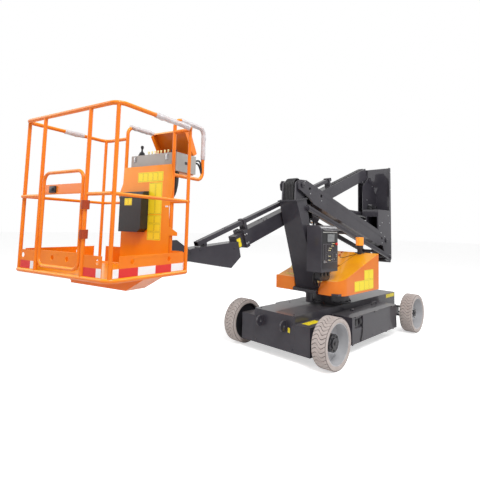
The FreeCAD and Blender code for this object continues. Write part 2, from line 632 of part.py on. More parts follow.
# Hoses that leave the mast's head, loop over the arm's pin and go back into the head
def mast_hoses():
    bend = size("hose_bend")
    pin_x = size("arm_pin_x")
    pin_z = size("arm_pin_z")
    foot = size("mast_head_z") - size("mast_head_drop") - size("mast_wall")
    solids = []
    for place_y in (-2.5, -1.5, -0.5, 0.5, 1.5, 2.5):
        y = place_y * size("hose_step")
        path = [VECTOR(pin_x + bend, y, foot), VECTOR(pin_x + bend, y, pin_z + bend), VECTOR(pin_x, y, pin_z + bend),
                VECTOR(pin_x - bend, y, pin_z + bend), VECTOR(pin_x - bend, y, foot)]
        solids.append(tube([path[0], path[1], path[3], path[4]], [bend * 0.99] * 2, size("hose_r")))
    return cut(fuse(*solids), mast())


place("mast_hoses", mast_hoses(), (SLEW, "0", "0"))


# Hoods beside and behind the mast: open-bottomed shells with a sloping top that meet on the centre line
def hood(side):
    def y(text):
        return text if side > 0 else f"-({text})"

    def shape(wall, seam, low):
        back = f"hood_back + {wall}"
        front = f"hood_front - {wall}"
        view = prism("XZ", [(back, low), (front, low), (front, f"hood_nose - {wall}"), ("hood_flat", f"hood_nose - {wall}"),
                            (back, f"hood_tail - {wall}*1.2")], "-hood_y", "hood_y")
        plan = [(back, y(seam)), (f"hood_step - {wall}", y(seam)), (f"hood_step - {wall}", y(f"hood_in + {wall}")),
                (front, y(f"hood_in + {wall}")), (front, y(f"hood_y - {wall}")), (back, y(f"hood_y - {wall}"))]
        return common(view, prism("XY", plan, low, "hood_tail + 1"))

    def corner(wall):
        low, high = ("hood_y - hood_round", "hood_y + 1")
        block = box(("hood_front - hood_round", "hood_front + 1"), (low, high), ("hood_low - 2", "hood_tail"))
        return cut(block, rod("Z", ("hood_front - hood_round", low), f"hood_round - {wall}", "hood_low - 3", "hood_tail + 1"))

    outer = shape("0", "seat_gap/2", "hood_low")
    inner = shape("hood_t", "-1", "hood_low - 1")
    if side > 0:
        outer = cut(outer, corner("0"))
        inner = cut(inner, corner("hood_t"))
    plate = box(("table_back", "table_wide"), ("-table_w/2", "table_w/2"), ("hood_low - 1", "table_low + table_t"))
    return cut(outer, inner, plate)


for word, side in (("left", 1), ("right", -1)):
    place(f"hood_{word}", hood(side), (SLEW, "0", "0"))
DECK = "table_low + table_t"
place("power_unit", box(("-420", "0"), ("210", "440"), (DECK, f"{DECK} + 300")), (SLEW, "0", "0"))
place("oil_tank", box(("-420", "120"), ("-440", "-210"), (DECK, f"{DECK} + 250")), (SLEW, "0", "0"))

HOOD_SLOPE = "(hood_tail - hood_nose)/(hood_flat - hood_back)"
LAMP_X = "(hood_back + lamp_x)"
LAMP_LOW = f"(hood_nose + (hood_flat - {LAMP_X})*{HOOD_SLOPE})"


def beacon():
    under = prism("XZ", [("hood_back - lamp_r", "hood_low"), ("hood_flat", "hood_low"), ("hood_flat", "hood_nose"),
                         ("hood_back - lamp_r", f"hood_tail + lamp_r*{HOOD_SLOPE}")], "0", "hood_y")
    foot = cut(rod("Z", (LAMP_X, "lamp_y"), "lamp_r*0.6", f"{LAMP_LOW} - 30", f"{LAMP_LOW} + 70"), under)
    return fuse(foot, rod("Z", (LAMP_X, "lamp_y"), "lamp_r*0.9", f"{LAMP_LOW} + 70", f"{LAMP_LOW} + 120"),
                rod("Z", (LAMP_X, "lamp_y"), "lamp_r", f"{LAMP_LOW} + 120", f"{LAMP_LOW} + 120 + lamp_h"))


place("beacon", beacon(), (SLEW, "0", "0"))


def mast_side(height):
    """Text for the mast's half width at a height."""
    return f"mast_base_w/2 - (mast_base_w - mast_top_w)/2*({height} - ({FOOT_Z}))/(mast_head_z - ({FOOT_Z}))"


def ground_controls():
    outer = "panel_y + panel_w"
    body = fuse(box(("panel_back", "panel_front"), ("panel_y", outer), ("panel_low", "panel_top - panel_round")),
                box(("panel_back", "panel_front"), ("panel_y", f"{outer} - panel_round"), ("panel_low", "panel_top")),
                rod("X", (f"{outer} - panel_round", "panel_top - panel_round"), "panel_round", "panel_back", "panel_front"))
    solids = [body]
    for low, high in (("1080", "1180"), ("1380", "1440")):
        solids.append(prism("YZ", [(mast_side(low), low), ("panel_y", low), ("panel_y", high), (mast_side(high), high)],
                            "panel_back + 40", "panel_back + 150"))
    return fuse(*solids)


place("ground_controls", ground_controls(), (SLEW, "0", "0"))


# Riser arm: box beam with forked ends, in its own frame with +X up the slope and zero at the front pin
def riser_arm():
    half = "arm_w/2"
    hollow = cut(box(("-arm_len + arm_tail", "-arm_head"), (f"-{half}", half), ("-arm_down", "arm_up")),
                 box(("-arm_len + arm_tail - 1", "-arm_head + 1"), (f"-{half} + arm_wall", f"{half} - arm_wall"),
                     ("-arm_down + arm_wall", "arm_up - arm_wall")))
    solids = [hollow]
    for low, high in ((f"-{half}", f"-{half} + cheek_t"), (f"{half} - cheek_t", half)):
        solids.append(prism("XZ", [("-arm_head - 120", "-arm_down"), ("-arm_head", "-arm_down"), ("-arm_head + 120", "-100"),
                                   ("-60", "-90"), ("60", "-75"), ("92", "-10"), ("75", "45"), ("-57", "arm_up"),
                                   ("-arm_head - 120", "arm_up")], low, high))
        solids.append(prism("XZ", [("-arm_len + arm_tail + 120", "-arm_down"), ("-arm_len + arm_tail + 120", "arm_up"),
                                   ("-arm_len + 90", "arm_up"), ("-arm_len - 40", "70"), ("-arm_len - 78", "0"),
                                   ("-arm_len - 40", "-70"), ("-arm_len + 60", "-110")], low, high))
    for low, high in (("-44", "-28"), ("28", "44")):
        solids.append(prism("XZ", [("-ram_eye_x - 140", "-arm_down + 2"), ("-ram_eye_x + 140", "-arm_down + 2"),
                                   ("-ram_eye_x + 40", "-ram_eye_z - 45"), ("-ram_eye_x - 40", "-ram_eye_z - 45")], low, high))
    drilled = [rod("Y", (x, "0"), "main_pin_r + pin_gap", f"-{half} - 1", f"{half} + 1") for x in ("0", "-arm_len")]
    for x, z in (("-163", "11"), ("-444", "17"), ("-arm_len + 163", "-11")):
        drilled.append(rod("Y", (x, z), "22", f"-{half} - 1", f"{half} + 1"))
    return cut(fuse(*solids), *drilled)


UPSLOPE = (0, -1, 0)
place("riser_arm", riser_arm(), (ARM_X, "0", "arm_pin_z"), UPSLOPE, "arm_tilt")


def lower_links():
    solids = []
    drilled = []
    for low, high in (("link_in", "link_in + link_t"), ("-(link_in + link_t)", "-link_in")):
        solids.append(box(("-arm_len", "0"), (low, high), ("-link_h/2", "link_h/2")))
        for x in ("0", "-arm_len"):
            solids.append(rod("Y", (x, "0"), "link_h/2 + 4", low, high))
    for x in ("-1100", "-2180"):
        solids.append(rod("Y", (x, "0"), "24", "-link_in", "link_in"))
    for x in ("0", "-arm_len"):
        drilled.append(rod("Y", (x, "0"), "link_pin_r + pin_gap", "-200", "200"))
    return cut(fuse(*solids), *drilled)


place("lower_links", lower_links(), (f"{ARM_X} - link_back", "0", "arm_pin_z - link_drop"), UPSLOPE, "arm_tilt")


# Upright, zero at the riser arm's rear pin
def upright():
    near = "frame_w/2"
    web = "-frame_back - plate_t"
    solids = [box((web, "-frame_back"), (f"-{near}", near), ("-330", "frame_deck")),
              box((web, "-frame_back"), ("-frame_far", near), ("frame_deck - 170", "frame_top")),
              box((web, "-frame_back + 50"), (f"{near} - plate_t", near), ("frame_deck", "frame_top")),
              box((web, "-frame_back + 50"), ("-frame_far", "-frame_far + plate_t"), ("frame_deck", "frame_top"))]
    for low, high in ((f"-{near}", f"-{near} + 22"), (f"{near} - 22", near)):
        solids.append(prism("XZ", [(web, "-330"), ("-230", "-372"), ("-link_back + 55", "-link_drop - 40"),
                                   ("40", "-70"), ("70", "0"), ("120", "100"), ("frame_front", "190"),
                                   ("frame_front", "frame_deck"), (web, "frame_deck")], low, high))
    solids.append(box((web, "frame_front"), ("boom_y + boom_w/2 + 12", near), ("frame_deck - 12", "frame_deck")))
    solids.append(box((web, "frame_front"), ("boom_y + boom_w/2 + 12", near), ("frame_deck - 120", "frame_deck - 108")))
    solids.append(box(("frame_front - 12", "frame_front"), ("boom_y + boom_w/2 + 12", near), ("frame_deck - 120", "frame_deck")))
    cheek = [(web, "frame_deck - 170"), ("-20", "frame_deck - 170"), ("frame_front", "frame_deck - 110"),
             ("frame_front", "boom_rise - 120"), ("-boom_back + 62", "boom_rise + 30"), ("-boom_back + 20", "boom_rise + 62"),
             ("-boom_back - 50", "boom_rise + 50"), (web, "boom_rise - 260")]
    solids.append(prism("XZ", cheek, "boom_y + boom_w/2 + 7", "boom_y + boom_w/2 + 21"))
    far = [(web, "frame_deck - 170"), ("-20", "frame_deck - 170"), ("frame_far_front", "frame_deck - 110"),
           ("frame_far_front", "boom_rise + 30"), ("-boom_back + 20", "boom_rise + 62"), ("-boom_back - 50", "boom_rise + 50"),
           (web, "boom_rise - 260")]
    solids.append(prism("XZ", far, "-frame_far", "-frame_far + 14"))
    solids.append(rod("Y", ("0", "0"), "main_pin_r", "-158", "158"))
    solids.append(rod("Y", ("-link_back", "-link_drop"), "link_pin_r", "-(link_in + link_t + 6)", "link_in + link_t + 6"))
    solids.append(rod("Y", ("-boom_back", "boom_rise"), "main_pin_r", "-frame_far - 6", "boom_y + boom_w/2 + 30"))
    solids.append(rod("Y", ("lift_foot_x", "lift_foot_z"), "ram_pin_r", "-frame_far - 6", "boom_y + boom_w/2 + 26"))
    solids.append(rod("Y", ("-250", "-355"), "30", f"-{near}", near))
    return fuse(*solids)


place("upright", upright(), (FRAME_X, "0", FRAME_Z))


# Main boom, in its own frame with +X towards the mouth and zero at the boom's pin
def main_boom():
    half = "boom_w/2"
    low = "boom_axis - boom_h/2"
    high = "boom_axis + boom_h/2"
    beam = cut(box(("30", "boom_len"), (f"-{half}", half), (low, high)),
               box(("30 + boom_wall", "boom_len + 1"), (f"-{half} + boom_wall", f"{half} - boom_wall"),
                   (f"{low} + boom_wall", f"{high} - boom_wall")))
    collar = cut(box(("boom_len - collar_l", "boom_len"), (f"-{half} - collar_t", f"{half} + collar_t"),
                     (f"{low} - collar_t", f"{high} + collar_t")),
                 box(("boom_len - collar_l - 1", "boom_len + 1"), ("-fly_w/2 - seat_gap", "fly_w/2 + seat_gap"),
                     ("boom_axis - fly_h/2 - seat_gap", "boom_axis + fly_h/2 + seat_gap")))
    root = cut(prism("XZ", [("-40", "-30"), ("0", "-62"), ("60", "-40"), ("330", f"{low} + 2"), ("30", f"{low} + 2"), ("-62", "10")],
                     "-62", "62"),
               rod("Y", ("0", "0"), "main_pin_r + pin_gap", "-70", "70"))
    solids = [beam, collar, root]
    for y0, y1 in (("-40", "-28"), ("28", "40")):
        solids.append(prism("XZ", [("lift_x - 120", f"{low} + 2"), ("lift_x - 45", "lift_z - 45"), ("lift_x + 45", "lift_z - 45"),
                                   ("lift_x + 120", f"{low} + 2")], y0, y1))
    for x in ("tray_start + 60", "boom_len - 120"):
        solids.append(cut(box((x, f"{x} + 40"), ("-tray_w/2 - 12", "tray_w/2 + 12"), (f"{high} - 2", "tray_low + tray_h + 10")),
                          box((f"{x} - 1", f"{x} + 41"), ("-tray_w/2 - seat_gap", "tray_w/2 + seat_gap"),
                              ("tray_low - seat_gap", "tray_low + tray_h + seat_gap"))))
    return fuse(*solids)


DOWNSLOPE = (0, 1, 0)
BOOM_SPOT = (BOOM_X, "boom_y", BOOM_Z)
place("main_boom", main_boom(), BOOM_SPOT, DOWNSLOPE, "boom_tilt")
place("fly_boom", cut(box(("fly_start", FLY), ("-fly_w/2", "fly_w/2"), ("boom_axis - fly_h/2", "boom_axis + fly_h/2")),
                      box(("fly_start - 1", f"{FLY} - 20"), ("-fly_w/2 + fly_wall", "fly_w/2 - fly_wall"),
                          ("boom_axis - fly_h/2 + fly_wall", "boom_axis + fly_h/2 - fly_wall"))),
      BOOM_SPOT, DOWNSLOPE, "boom_tilt")
place("cable_tray", cut(box(("tray_start", "tray_end"), ("-tray_w/2", "tray_w/2"), ("tray_low", "tray_low + tray_h")),
                        box(("tray_start - 1", "tray_end + 1"), ("-tray_w/2 + 3", "tray_w/2 - 3"), ("tray_low + 3", "tray_low + tray_h - 3"))),
      BOOM_SPOT, DOWNSLOPE, "boom_tilt")

# Boom nose, zero at the fly boom's end: it holds that end and carries the cable tray
NOSE = [("-2", "15"), ("665", "-48"), ("level_x + 22", "level_z + 40"), ("level_x + 44", "level_z"), ("level_x + 22", "level_z - 40"),
        ("658", "-185"), ("100", "-280"), ("-48", "-159")]
TRAY_END = f"tray_end - ({FLY})"


def boom_nose():
    hold = box(("-300", "0"), ("-fly_w/2", "fly_w/2"), ("-fly_h/2", "fly_h/2"))
    track = box(("-300", TRAY_END), ("-tray_w/2 - 5", "tray_w/2 + 5"), ("tray_low - boom_axis", "tray_low + tray_h"))
    tools = []
    for tool in (hold, track):
        turned = held(tool)
        turned.Placement = FreeCAD.Placement(VECTOR(), FreeCAD.Rotation(VECTOR(*DOWNSLOPE), 1))
        tie(turned, Placement__Rotation__Angle="boom_tilt")
        tools.append(turned)
    post = box(("nose_post", "nose_post + 40"), ("-tray_w/2", "tray_w/2"), ("-60", "60"))
    body = fuse(prism("XZ", NOSE, "-nose_w/2", "nose_w/2"), post)
    return cut(body, rod("Y", ("level_x", "level_z"), "link_pin_r + pin_gap", "-nose_w", "nose_w"), *tools)


place("boom_nose", boom_nose(), (FLY_X, "boom_y", FLY_Z))

# Levelling bracket: cheeks outside the nose, and the rotator that it carries; zero at the levelling pin
BRACKET = [("-60", "-55"), ("60", "-60"), ("turner_x - turner_r - turner_t", "-60"), ("turner_x - turner_r - turner_t", "150"), ("120", "160"), ("-40", "60")]
place("level_bracket", fuse(prism("XZ", BRACKET, "nose_w/2 + 5", "nose_w/2 + 17"),
                            prism("XZ", BRACKET, "-nose_w/2 - 17", "-nose_w/2 - 5"),
                            box(("120", "turner_x - turner_r - turner_t"), ("-nose_w/2 - 10", "nose_w/2 + 10"), ("-60", "145")),
                            rod("Y", ("0", "0"), "link_pin_r", "-nose_w/2 - 22", "nose_w/2 + 22")),
      (LEVEL_X, "boom_y", LEVEL_Z))


# Two hoses that hang in loops under the levelling bracket
def bracket_hoses():
    solids = []
    for y, rear, front, low, bend in ((40, 130, 310, -150, 70), (66, 155, 285, -125, 50)):
        path = [VECTOR(rear, y, -60), VECTOR(rear, y, low), VECTOR(front, y, low), VECTOR(front, y, -60)]
        solids.append(tube(path, [bend] * 2, size("line_r")))
    return fuse(*solids)


place("bracket_hoses", bracket_hoses(), (LEVEL_X, "boom_y", LEVEL_Z))
place("rotator", fuse(rod("Z", ("0", "0"), "turner_r", "turner_low", "turner_top"),
                      box(("-turner_r - turner_t", "0"), ("-60", "60"), ("turner_low + 40", "turner_top - 40"))),
      (TURNER_X, "boom_y", "0"))


# Platform, zero at the rotator's axis, +X towards its front
FRONT = "cage_back + cage_len"
NEAR = "cage_side + cage_w/2"
FAR = "cage_side - cage_w/2"
YAW = (0, 0, 1)
CAGE_SPOT = (TURNER_X, "boom_y", "0")
TOP = "cage_low + cage_h"


def lower_rail():
    near = size("cage_side") + size("cage_w") / 2
    far = size("cage_side") - size("cage_w") / 2
    back = size("cage_back")
    front = back + size("cage_len")
    middle = (near + far) / 2
    z = size("cage_low")
    path = [VECTOR(back, middle, z), VECTOR(back, near, z), VECTOR(front, near, z), VECTOR(front, far, z),
            VECTOR(back, far, z), VECTOR(back, middle, z)]
    return tube(path, [size("rail_bend")] * 4, size("rail_r"))


def top_rail():
    near = size("cage_side") + size("cage_w") / 2
    far = size("cage_side") - size("cage_w") / 2
    back = size("cage_back")
    front = back + size("cage_len")
    z = size("cage_low") + size("cage_h")
    path = [VECTOR(back, size("cage_side") + size("loop_near"), z), VECTOR(back, near, z), VECTOR(front, near, z),
            VECTOR(front, far, z), VECTOR(back, far, z), VECTOR(back, size("cage_side") + size("loop_far"), z)]
    return tube(path, [size("rail_bend")] * 4, size("rail_r"))


def guard_loops():
    back = size("cage_back")
    behind = back - size("loop_l")
    foot = size("cage_low") + size("rail_r") - 1
    under = size("cage_low") + size("loop_low")
    over = size("cage_low") + size("loop_high")
    half = (under + over) / 2
    solids = []
    for side in ("loop_far", "loop_near"):
        y = size("cage_side") + size(side)
        upper = [VECTOR(back, y, foot), VECTOR(back, y, over), VECTOR(behind, y, over), VECTOR(behind, y, half)]
        lower = [VECTOR(behind, y, half), VECTOR(behind, y, under), VECTOR(back, y, under)]
        solids.append(tube(upper, [size("rail_bend")] * 2, size("loop_r")))
        solids.append(tube(lower, [size("rail_bend")], size("loop_r")))
    return fuse(*solids)


def posts():
    mid = "cage_low + cage_mid"
    solids = []
    for y in (f"{FAR} + post_in", f"{NEAR} - post_in"):
        for x in ("cage_back + post_in", f"{FRONT} - post_in"):
            solids.append(rod("Z", (x, y), "post_r", "cage_low", TOP))
        solids.append(rod("X", (y, mid), "mid_r", "cage_back + post_in", f"{FRONT} - post_in"))
    for y in ("cage_side - gate_w/2", "cage_side + gate_w/2"):
        solids.append(rod("Z", (FRONT, y), "post_r", "cage_low", TOP))
    for low, high in ((f"{FAR} + post_in", "cage_side - gate_w/2"), ("cage_side + gate_w/2", f"{NEAR} - post_in")):
        solids.append(rod("Y", (f"{FRONT} - post_in/4", mid), "mid_r", low, high))
    for low, high in ((f"{FAR} + post_in", "cage_side + loop_far"), ("cage_side + loop_near", f"{NEAR} - post_in")):
        solids.append(rod("Y", ("cage_back + post_in/4", mid), "mid_r", low, high))
    return cut(fuse(*solids), lower_rail(), top_rail(), guard_loops())


def deck():
    nick = "rail_bend*0.7"
    outline = [("cage_back", f"{FAR} + {nick}"), (f"cage_back + {nick}", FAR), (f"{FRONT} - {nick}", FAR), (FRONT, f"{FAR} + {nick}"),
               (FRONT, f"{NEAR} - {nick}"), (f"{FRONT} - {nick}", NEAR), (f"cage_back + {nick}", NEAR), ("cage_back", f"{NEAR} - {nick}")]
    sheet_part = prism("XY", outline, "cage_low - floor_t/2", "cage_low + floor_t/2")
    toe = ("cage_low", "cage_low + toe_h")
    hole_z = "cage_low + toe_hole_z"
    boards = []
    for y in (NEAR, FAR):
        boards.append(box(("cage_back + rail_bend", f"{FRONT} - rail_bend"), (f"{y} - toe_t/2", f"{y} + toe_t/2"), toe))
    for low_y, high_y in ((f"{FAR} + rail_bend", "cage_side - gate_w/2"), ("cage_side + gate_w/2", f"{NEAR} - rail_bend")):
        boards.append(box((f"{FRONT} - toe_t/2", f"{FRONT} + toe_t/2"), (low_y, high_y), toe))
    boards.append(box(("cage_back - toe_t/2", "cage_back + toe_t/2"), (f"{FAR} + rail_bend", f"{NEAR} - rail_bend"), toe))
    holes = [rod("Y", (x, hole_z), "toe_hole_r", f"{FAR} - toe_t", f"{NEAR} + toe_t") for x in ("500", "846")]
    for y in ("-161", "674"):
        holes.append(rod("X", (y, hole_z), "toe_hole_r", f"{FRONT} - toe_t", f"{FRONT} + toe_t"))
    return fuse(sheet_part, cut(fuse(*boards), *holes))


place("platform_rails", fuse(lower_rail(), cut(top_rail(), guard_loops())), CAGE_SPOT, YAW, "cage_yaw")
place("guard_loops", cut(guard_loops(), lower_rail()), CAGE_SPOT, YAW, "cage_yaw")
place("platform_posts", posts(), CAGE_SPOT, YAW, "cage_yaw")
place("platform_deck", cut(deck(), lower_rail(), guard_loops(), posts()), CAGE_SPOT, YAW, "cage_yaw")
BEAM = ("cage_back + 235", "cage_back + 420")
SUPPORT_LOW = "turner_low - 80"
place("platform_support", fuse(rod("Z", ("0", "0"), "turner_r + 10", SUPPORT_LOW, "turner_low - seat_gap"),
                               box(("0", "cage_back + 420"), ("-65", "65"), (SUPPORT_LOW, f"{SUPPORT_LOW} + 70")),
                               prism("YZ", [("cage_side - 300", SUPPORT_LOW), ("cage_side + 300", SUPPORT_LOW),
                                            ("cage_side + 490", "cage_low - rail_r"), ("cage_side + 490", "cage_low - floor_t/2"),
                                            ("cage_side - 490", "cage_low - floor_t/2"), ("cage_side - 490", "cage_low - rail_r")], *BEAM)),
      CAGE_SPOT, YAW, "cage_yaw")


def gate():
    y0 = size("cage_side") - size("gate_w") / 2 + size("gate_in")
    y1 = size("cage_side") + size("gate_w") / 2 - size("gate_in")
    x = size("cage_back") + size("cage_len")
    z0 = size("cage_low") + size("gate_low")
    z1 = z0 + size("gate_h")
    middle = (y0 + y1) / 2
    loop = [VECTOR(x, middle, z0), VECTOR(x, y1, z0), VECTOR(x, y1, z1), VECTOR(x, y0, z1), VECTOR(x, y0, z0), VECTOR(x, middle, z0)]
    frame = tube(loop, [size("gate_bend")] * 4, 12)
    low = "cage_side - gate_w/2 + gate_in"
    high = "cage_side + gate_w/2 - gate_in"
    band = box((f"{FRONT} - 2", f"{FRONT} + 2"), (low, high), ("cage_low + cage_mid + 5", "cage_low + cage_mid + 75"))
    board = box((f"{FRONT} - 2", f"{FRONT} + 2"), (low, high), ("cage_low + gate_low", "cage_low + gate_low + 110"))
    holes = [rod("X", (y, "cage_low + toe_hole_z"), "toe_hole_r", f"{FRONT} - 3", f"{FRONT} + 3") for y in ("200", "365")]
    latch = box((f"{FRONT} - 14", f"{FRONT} + 14"), ("129", "193"), ("cage_low + cage_mid + 18", "cage_low + cage_mid + 62"))
    solids = [frame, band, latch, cut(board, *holes)]
    post = (FRONT, "cage_side + gate_w/2")
    for height in ("250", "440"):
        foot = f"cage_low + {height}"
        solids.append(cut(rod("Z", post, "post_r + 12", foot, f"{foot} + 60"),
                          rod("Z", post, "post_r + pin_gap", f"{foot} - 1", f"{foot} + 61")))
    return fuse(*solids)


place("gate", gate(), CAGE_SPOT, YAW, "cage_yaw")

# Console: panel on the rear rails, document box, control box behind the rails and its open cover
DESK = "cage_side + desk_y"
SHEET_FRONT = "cage_back + desk_in + desk_t"


def console_panel():
    low = "cage_low + floor_t/2"
    outline = [("0", low), ("desk_w", low), ("desk_w", "1429"), ("desk_w + 86", "1429"), ("desk_w + 86", "1456"),
               ("desk_w", "1500"), ("desk_w - 10", "1652"), ("desk_w + 30", "1825"), ("desk_w", "desk_top"),
               ("0", "desk_top"), ("-5", "1870"), ("-53", "1764"), ("-10", "1652"), ("0", "1500")]
    sheet_part = prism("YZ", [(f"{DESK} + {across}", up) for across, up in outline], "cage_back + desk_in", SHEET_FRONT)
    shelf = box(("cage_back - case_l - 10", SHEET_FRONT), (f"{DESK} + 20", f"{DESK} + desk_w - 20"), ("case_low - 6", "case_low"))
    return fuse(sheet_part, shelf)


def document_box():
    near = "file_y + file_w"
    low = "cage_low + file_low"
    side_view = prism("XZ", [(SHEET_FRONT, low), (f"{SHEET_FRONT} + file_t", low), (f"{SHEET_FRONT} + file_t", f"{low} + file_h - 50"),
                             (f"{SHEET_FRONT} + file_t - 25", f"{low} + file_h - 8"), (SHEET_FRONT, f"{low} + file_h")],
                      DESK, f"{DESK} + desk_w")
    front_view = prism("YZ", [(f"{DESK} + file_y", low), (f"{DESK} + {near} - 36", low), (f"{DESK} + {near}", f"{low} + 28"),
                              (f"{DESK} + {near}", f"{low} + file_h"), (f"{DESK} + file_y", f"{low} + file_h")],
                       SHEET_FRONT, f"{SHEET_FRONT} + file_t")
    lid = box((SHEET_FRONT, f"{SHEET_FRONT} + file_t + 4"), (f"{DESK} + file_y - 4", f"{DESK} + {near} + 4"),
              (f"{low} + file_h - 62", f"{low} + file_h - 50"))
    return fuse(common(side_view, front_view), lid)


place("console_panel", console_panel(), CAGE_SPOT, YAW, "cage_yaw")
place("document_box", document_box(), CAGE_SPOT, YAW, "cage_yaw")
CASE = "cage_side + case_y"
COVER_X = "(cage_back - cover_back)"
COVER_Y = "(cage_side + cover_y)"
COVER_Z = "(case_low + case_h + cover_gap)"


# Control box with the ears and pins that its cover turns on
def control_box():
    solids = [box(("cage_back - case_l", "cage_back - loop_r - safe_gap"), (f"{CASE} - case_w/2", f"{CASE} + case_w/2"),
                  ("case_low", "case_low + case_h"))]
    for side in ("-", "+"):
        y = f"{COVER_Y} {side} cover_w/3"
        solids.append(rod("Y", (COVER_X, COVER_Z), "cover_pin_r", f"{y} - 34", f"{y} + 34"))
        for low, high in ((f"{y} - 34", f"{y} - 27"), (f"{y} + 27", f"{y} + 34")):
            solids.append(box((f"{COVER_X} - cover_pin_r - 0.5", f"{COVER_X} + cover_pin_r + 0.5"), (low, high),
                              ("case_low + case_h", f"{COVER_Z} + cover_pin_r + 0.5")))
    return fuse(*solids)


place("control_box", control_box(), CAGE_SPOT, YAW, "cage_yaw")


# Cover, drawn shut about its hinge and turned open: a shallow box, open below, with two hinge barrels
def cover():
    back_z = "cover_h - 22"
    cheek = [("-7", "4"), ("4", "-7.5"), ("cover_l", "-7.5"), ("cover_l", "cover_h"), ("-7", back_z)]
    roof = [("-7", back_z), ("cover_l", "cover_h"), ("cover_l", "cover_h + cover_t"), ("-7", f"{back_z} + cover_t")]
    wide = ("-cover_w/2", "cover_w/2")
    solids = [prism("XZ", roof, *wide), box(("-7 - cover_t", "-7"), wide, ("8", f"{back_z} + cover_t")),
              box(("cover_l", "cover_l + cover_t"), wide, ("cover_h - 42", "cover_h + cover_t")),
              prism("XZ", cheek, "-cover_w/2", "-cover_w/2 + cover_t"), prism("XZ", cheek, "cover_w/2 - cover_t", "cover_w/2")]
    bores = []
    for side in ("-", ""):
        y = f"{side}cover_w/3"
        solids.append(rod("Y", ("0", "0"), "7", f"{y} - 25", f"{y} + 25"))
        solids.append(box(("-7 - cover_t", "-4"), (f"{y} - 25", f"{y} + 25"), ("0", "9")))
        bores.append(rod("Y", ("0", "0"), "cover_pin_r + pin_gap", f"{y} - 26", f"{y} + 26"))
    shell = cut(fuse(*solids), *bores)
    shell.Placement = FreeCAD.Placement(VECTOR(), FreeCAD.Rotation(VECTOR(*UPSLOPE), 1))
    tie(shell, Placement__Rotation__Angle="cover_open", Placement__Base__x=COVER_X, Placement__Base__y=COVER_Y,
        Placement__Base__z=COVER_Z)
    return held(shell)


place("console_cover", cover(), CAGE_SPOT, YAW, "cage_yaw")


# Lift cylinders along +X from the foot pin: a barrel with a foot eye, and a rod whose eye sits between two ears
def ram_barrel(reach):
    solids = [rod("Y", ("0", "0"), "ram_r*0.9", "-24", "24"), rod("X", ("0", "0"), "ram_r", "20", reach),
              rod("X", ("0", "0"), "ram_r + 6", f"({reach}) - 50", reach)]
    return cut(fuse(*solids), rod("X", ("0", "0"), "stem_r + pin_gap", "60", f"({reach}) + 1"),
               rod("Y", ("0", "0"), "ram_pin_r + pin_gap", "-ram_r - 1", "ram_r + 1"))


def ram_rod(rest, inner):
    return fuse(rod("X", ("0", "0"), "stem_r", inner, f"{rest} - 20"),
                rod("Y", (rest, "0"), "stem_r + 12", "-20", "20"))


RAM_X = f"{SLEW} + ram_foot_x"
RAM_EYE_X = f"({ARM_X} - ram_eye_x*cos(arm_tilt) + ram_eye_z*sin(arm_tilt))"
RAM_EYE_Z = "(arm_pin_z - ram_eye_x*sin(arm_tilt) - ram_eye_z*cos(arm_tilt))"
LIFT_X = f"{FRAME_X} + lift_foot_x"
LIFT_Z = f"{FRAME_Z} + lift_foot_z"
LIFT_EYE_X = f"({BOOM_X} + lift_x*cos(boom_tilt) + lift_z*sin(boom_tilt))"
LIFT_EYE_Z = f"({BOOM_Z} - lift_x*sin(boom_tilt) + lift_z*cos(boom_tilt))"
RAMS = [("riser", RAM_X, "ram_foot_z", "0", RAM_EYE_X, RAM_EYE_Z, "ram_gap", "ram_inner"),
        ("boom", LIFT_X, LIFT_Z, "boom_y", LIFT_EYE_X, LIFT_EYE_Z, "lift_gap", "lift_inner")]
for word, x, z, y, eye_x, eye_z, mouth, inner in RAMS:
    across = f"({eye_x} - ({x}))"
    rise = f"({eye_z} - ({z}))"
    rest = f"sqrt({across}^2 + {rise}^2)"
    place(f"{word}_cylinder", ram_barrel(f"{rest} - {mouth}"), (x, y, z), UPSLOPE, f"atan2({rise}; {across})")
    place(f"{word}_piston_rod", ram_rod(rest, inner), (x, y, z), UPSLOPE, f"atan2({rise}; {across})")

document.recompute()
faults = [thing.Name for thing in document.Objects if {"Invalid", "Error"} & set(thing.State)]
if faults:
    raise SystemExit(f"failed objects: {faults}")
for name, solid in pieces.items():
    if solid.Shape.isNull() or not solid.Shape.isValid() or not solid.Shape.Solids:
        raise SystemExit(f"bad shape: {name}")
os.makedirs("parts", exist_ok=True)
for name, solid in pieces.items():
    solid.Shape.exportStep(f"parts/{name}.step")
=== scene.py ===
"""Looks of an articulating boom lift: finishes, tyres, controls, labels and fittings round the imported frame.

Everything is in metres in the machine's own frame: +X to the platform end, +Y to the side with the
ground controls, +Z up, origin on the ground below the middle of the machine.
"""

from __future__ import annotations

import json
import logging
import math
from dataclasses import dataclass
from enum import Enum
from typing import Callable, Iterable, Sequence

import bmesh
import bpy
from mathutils import Matrix, Vector, noise

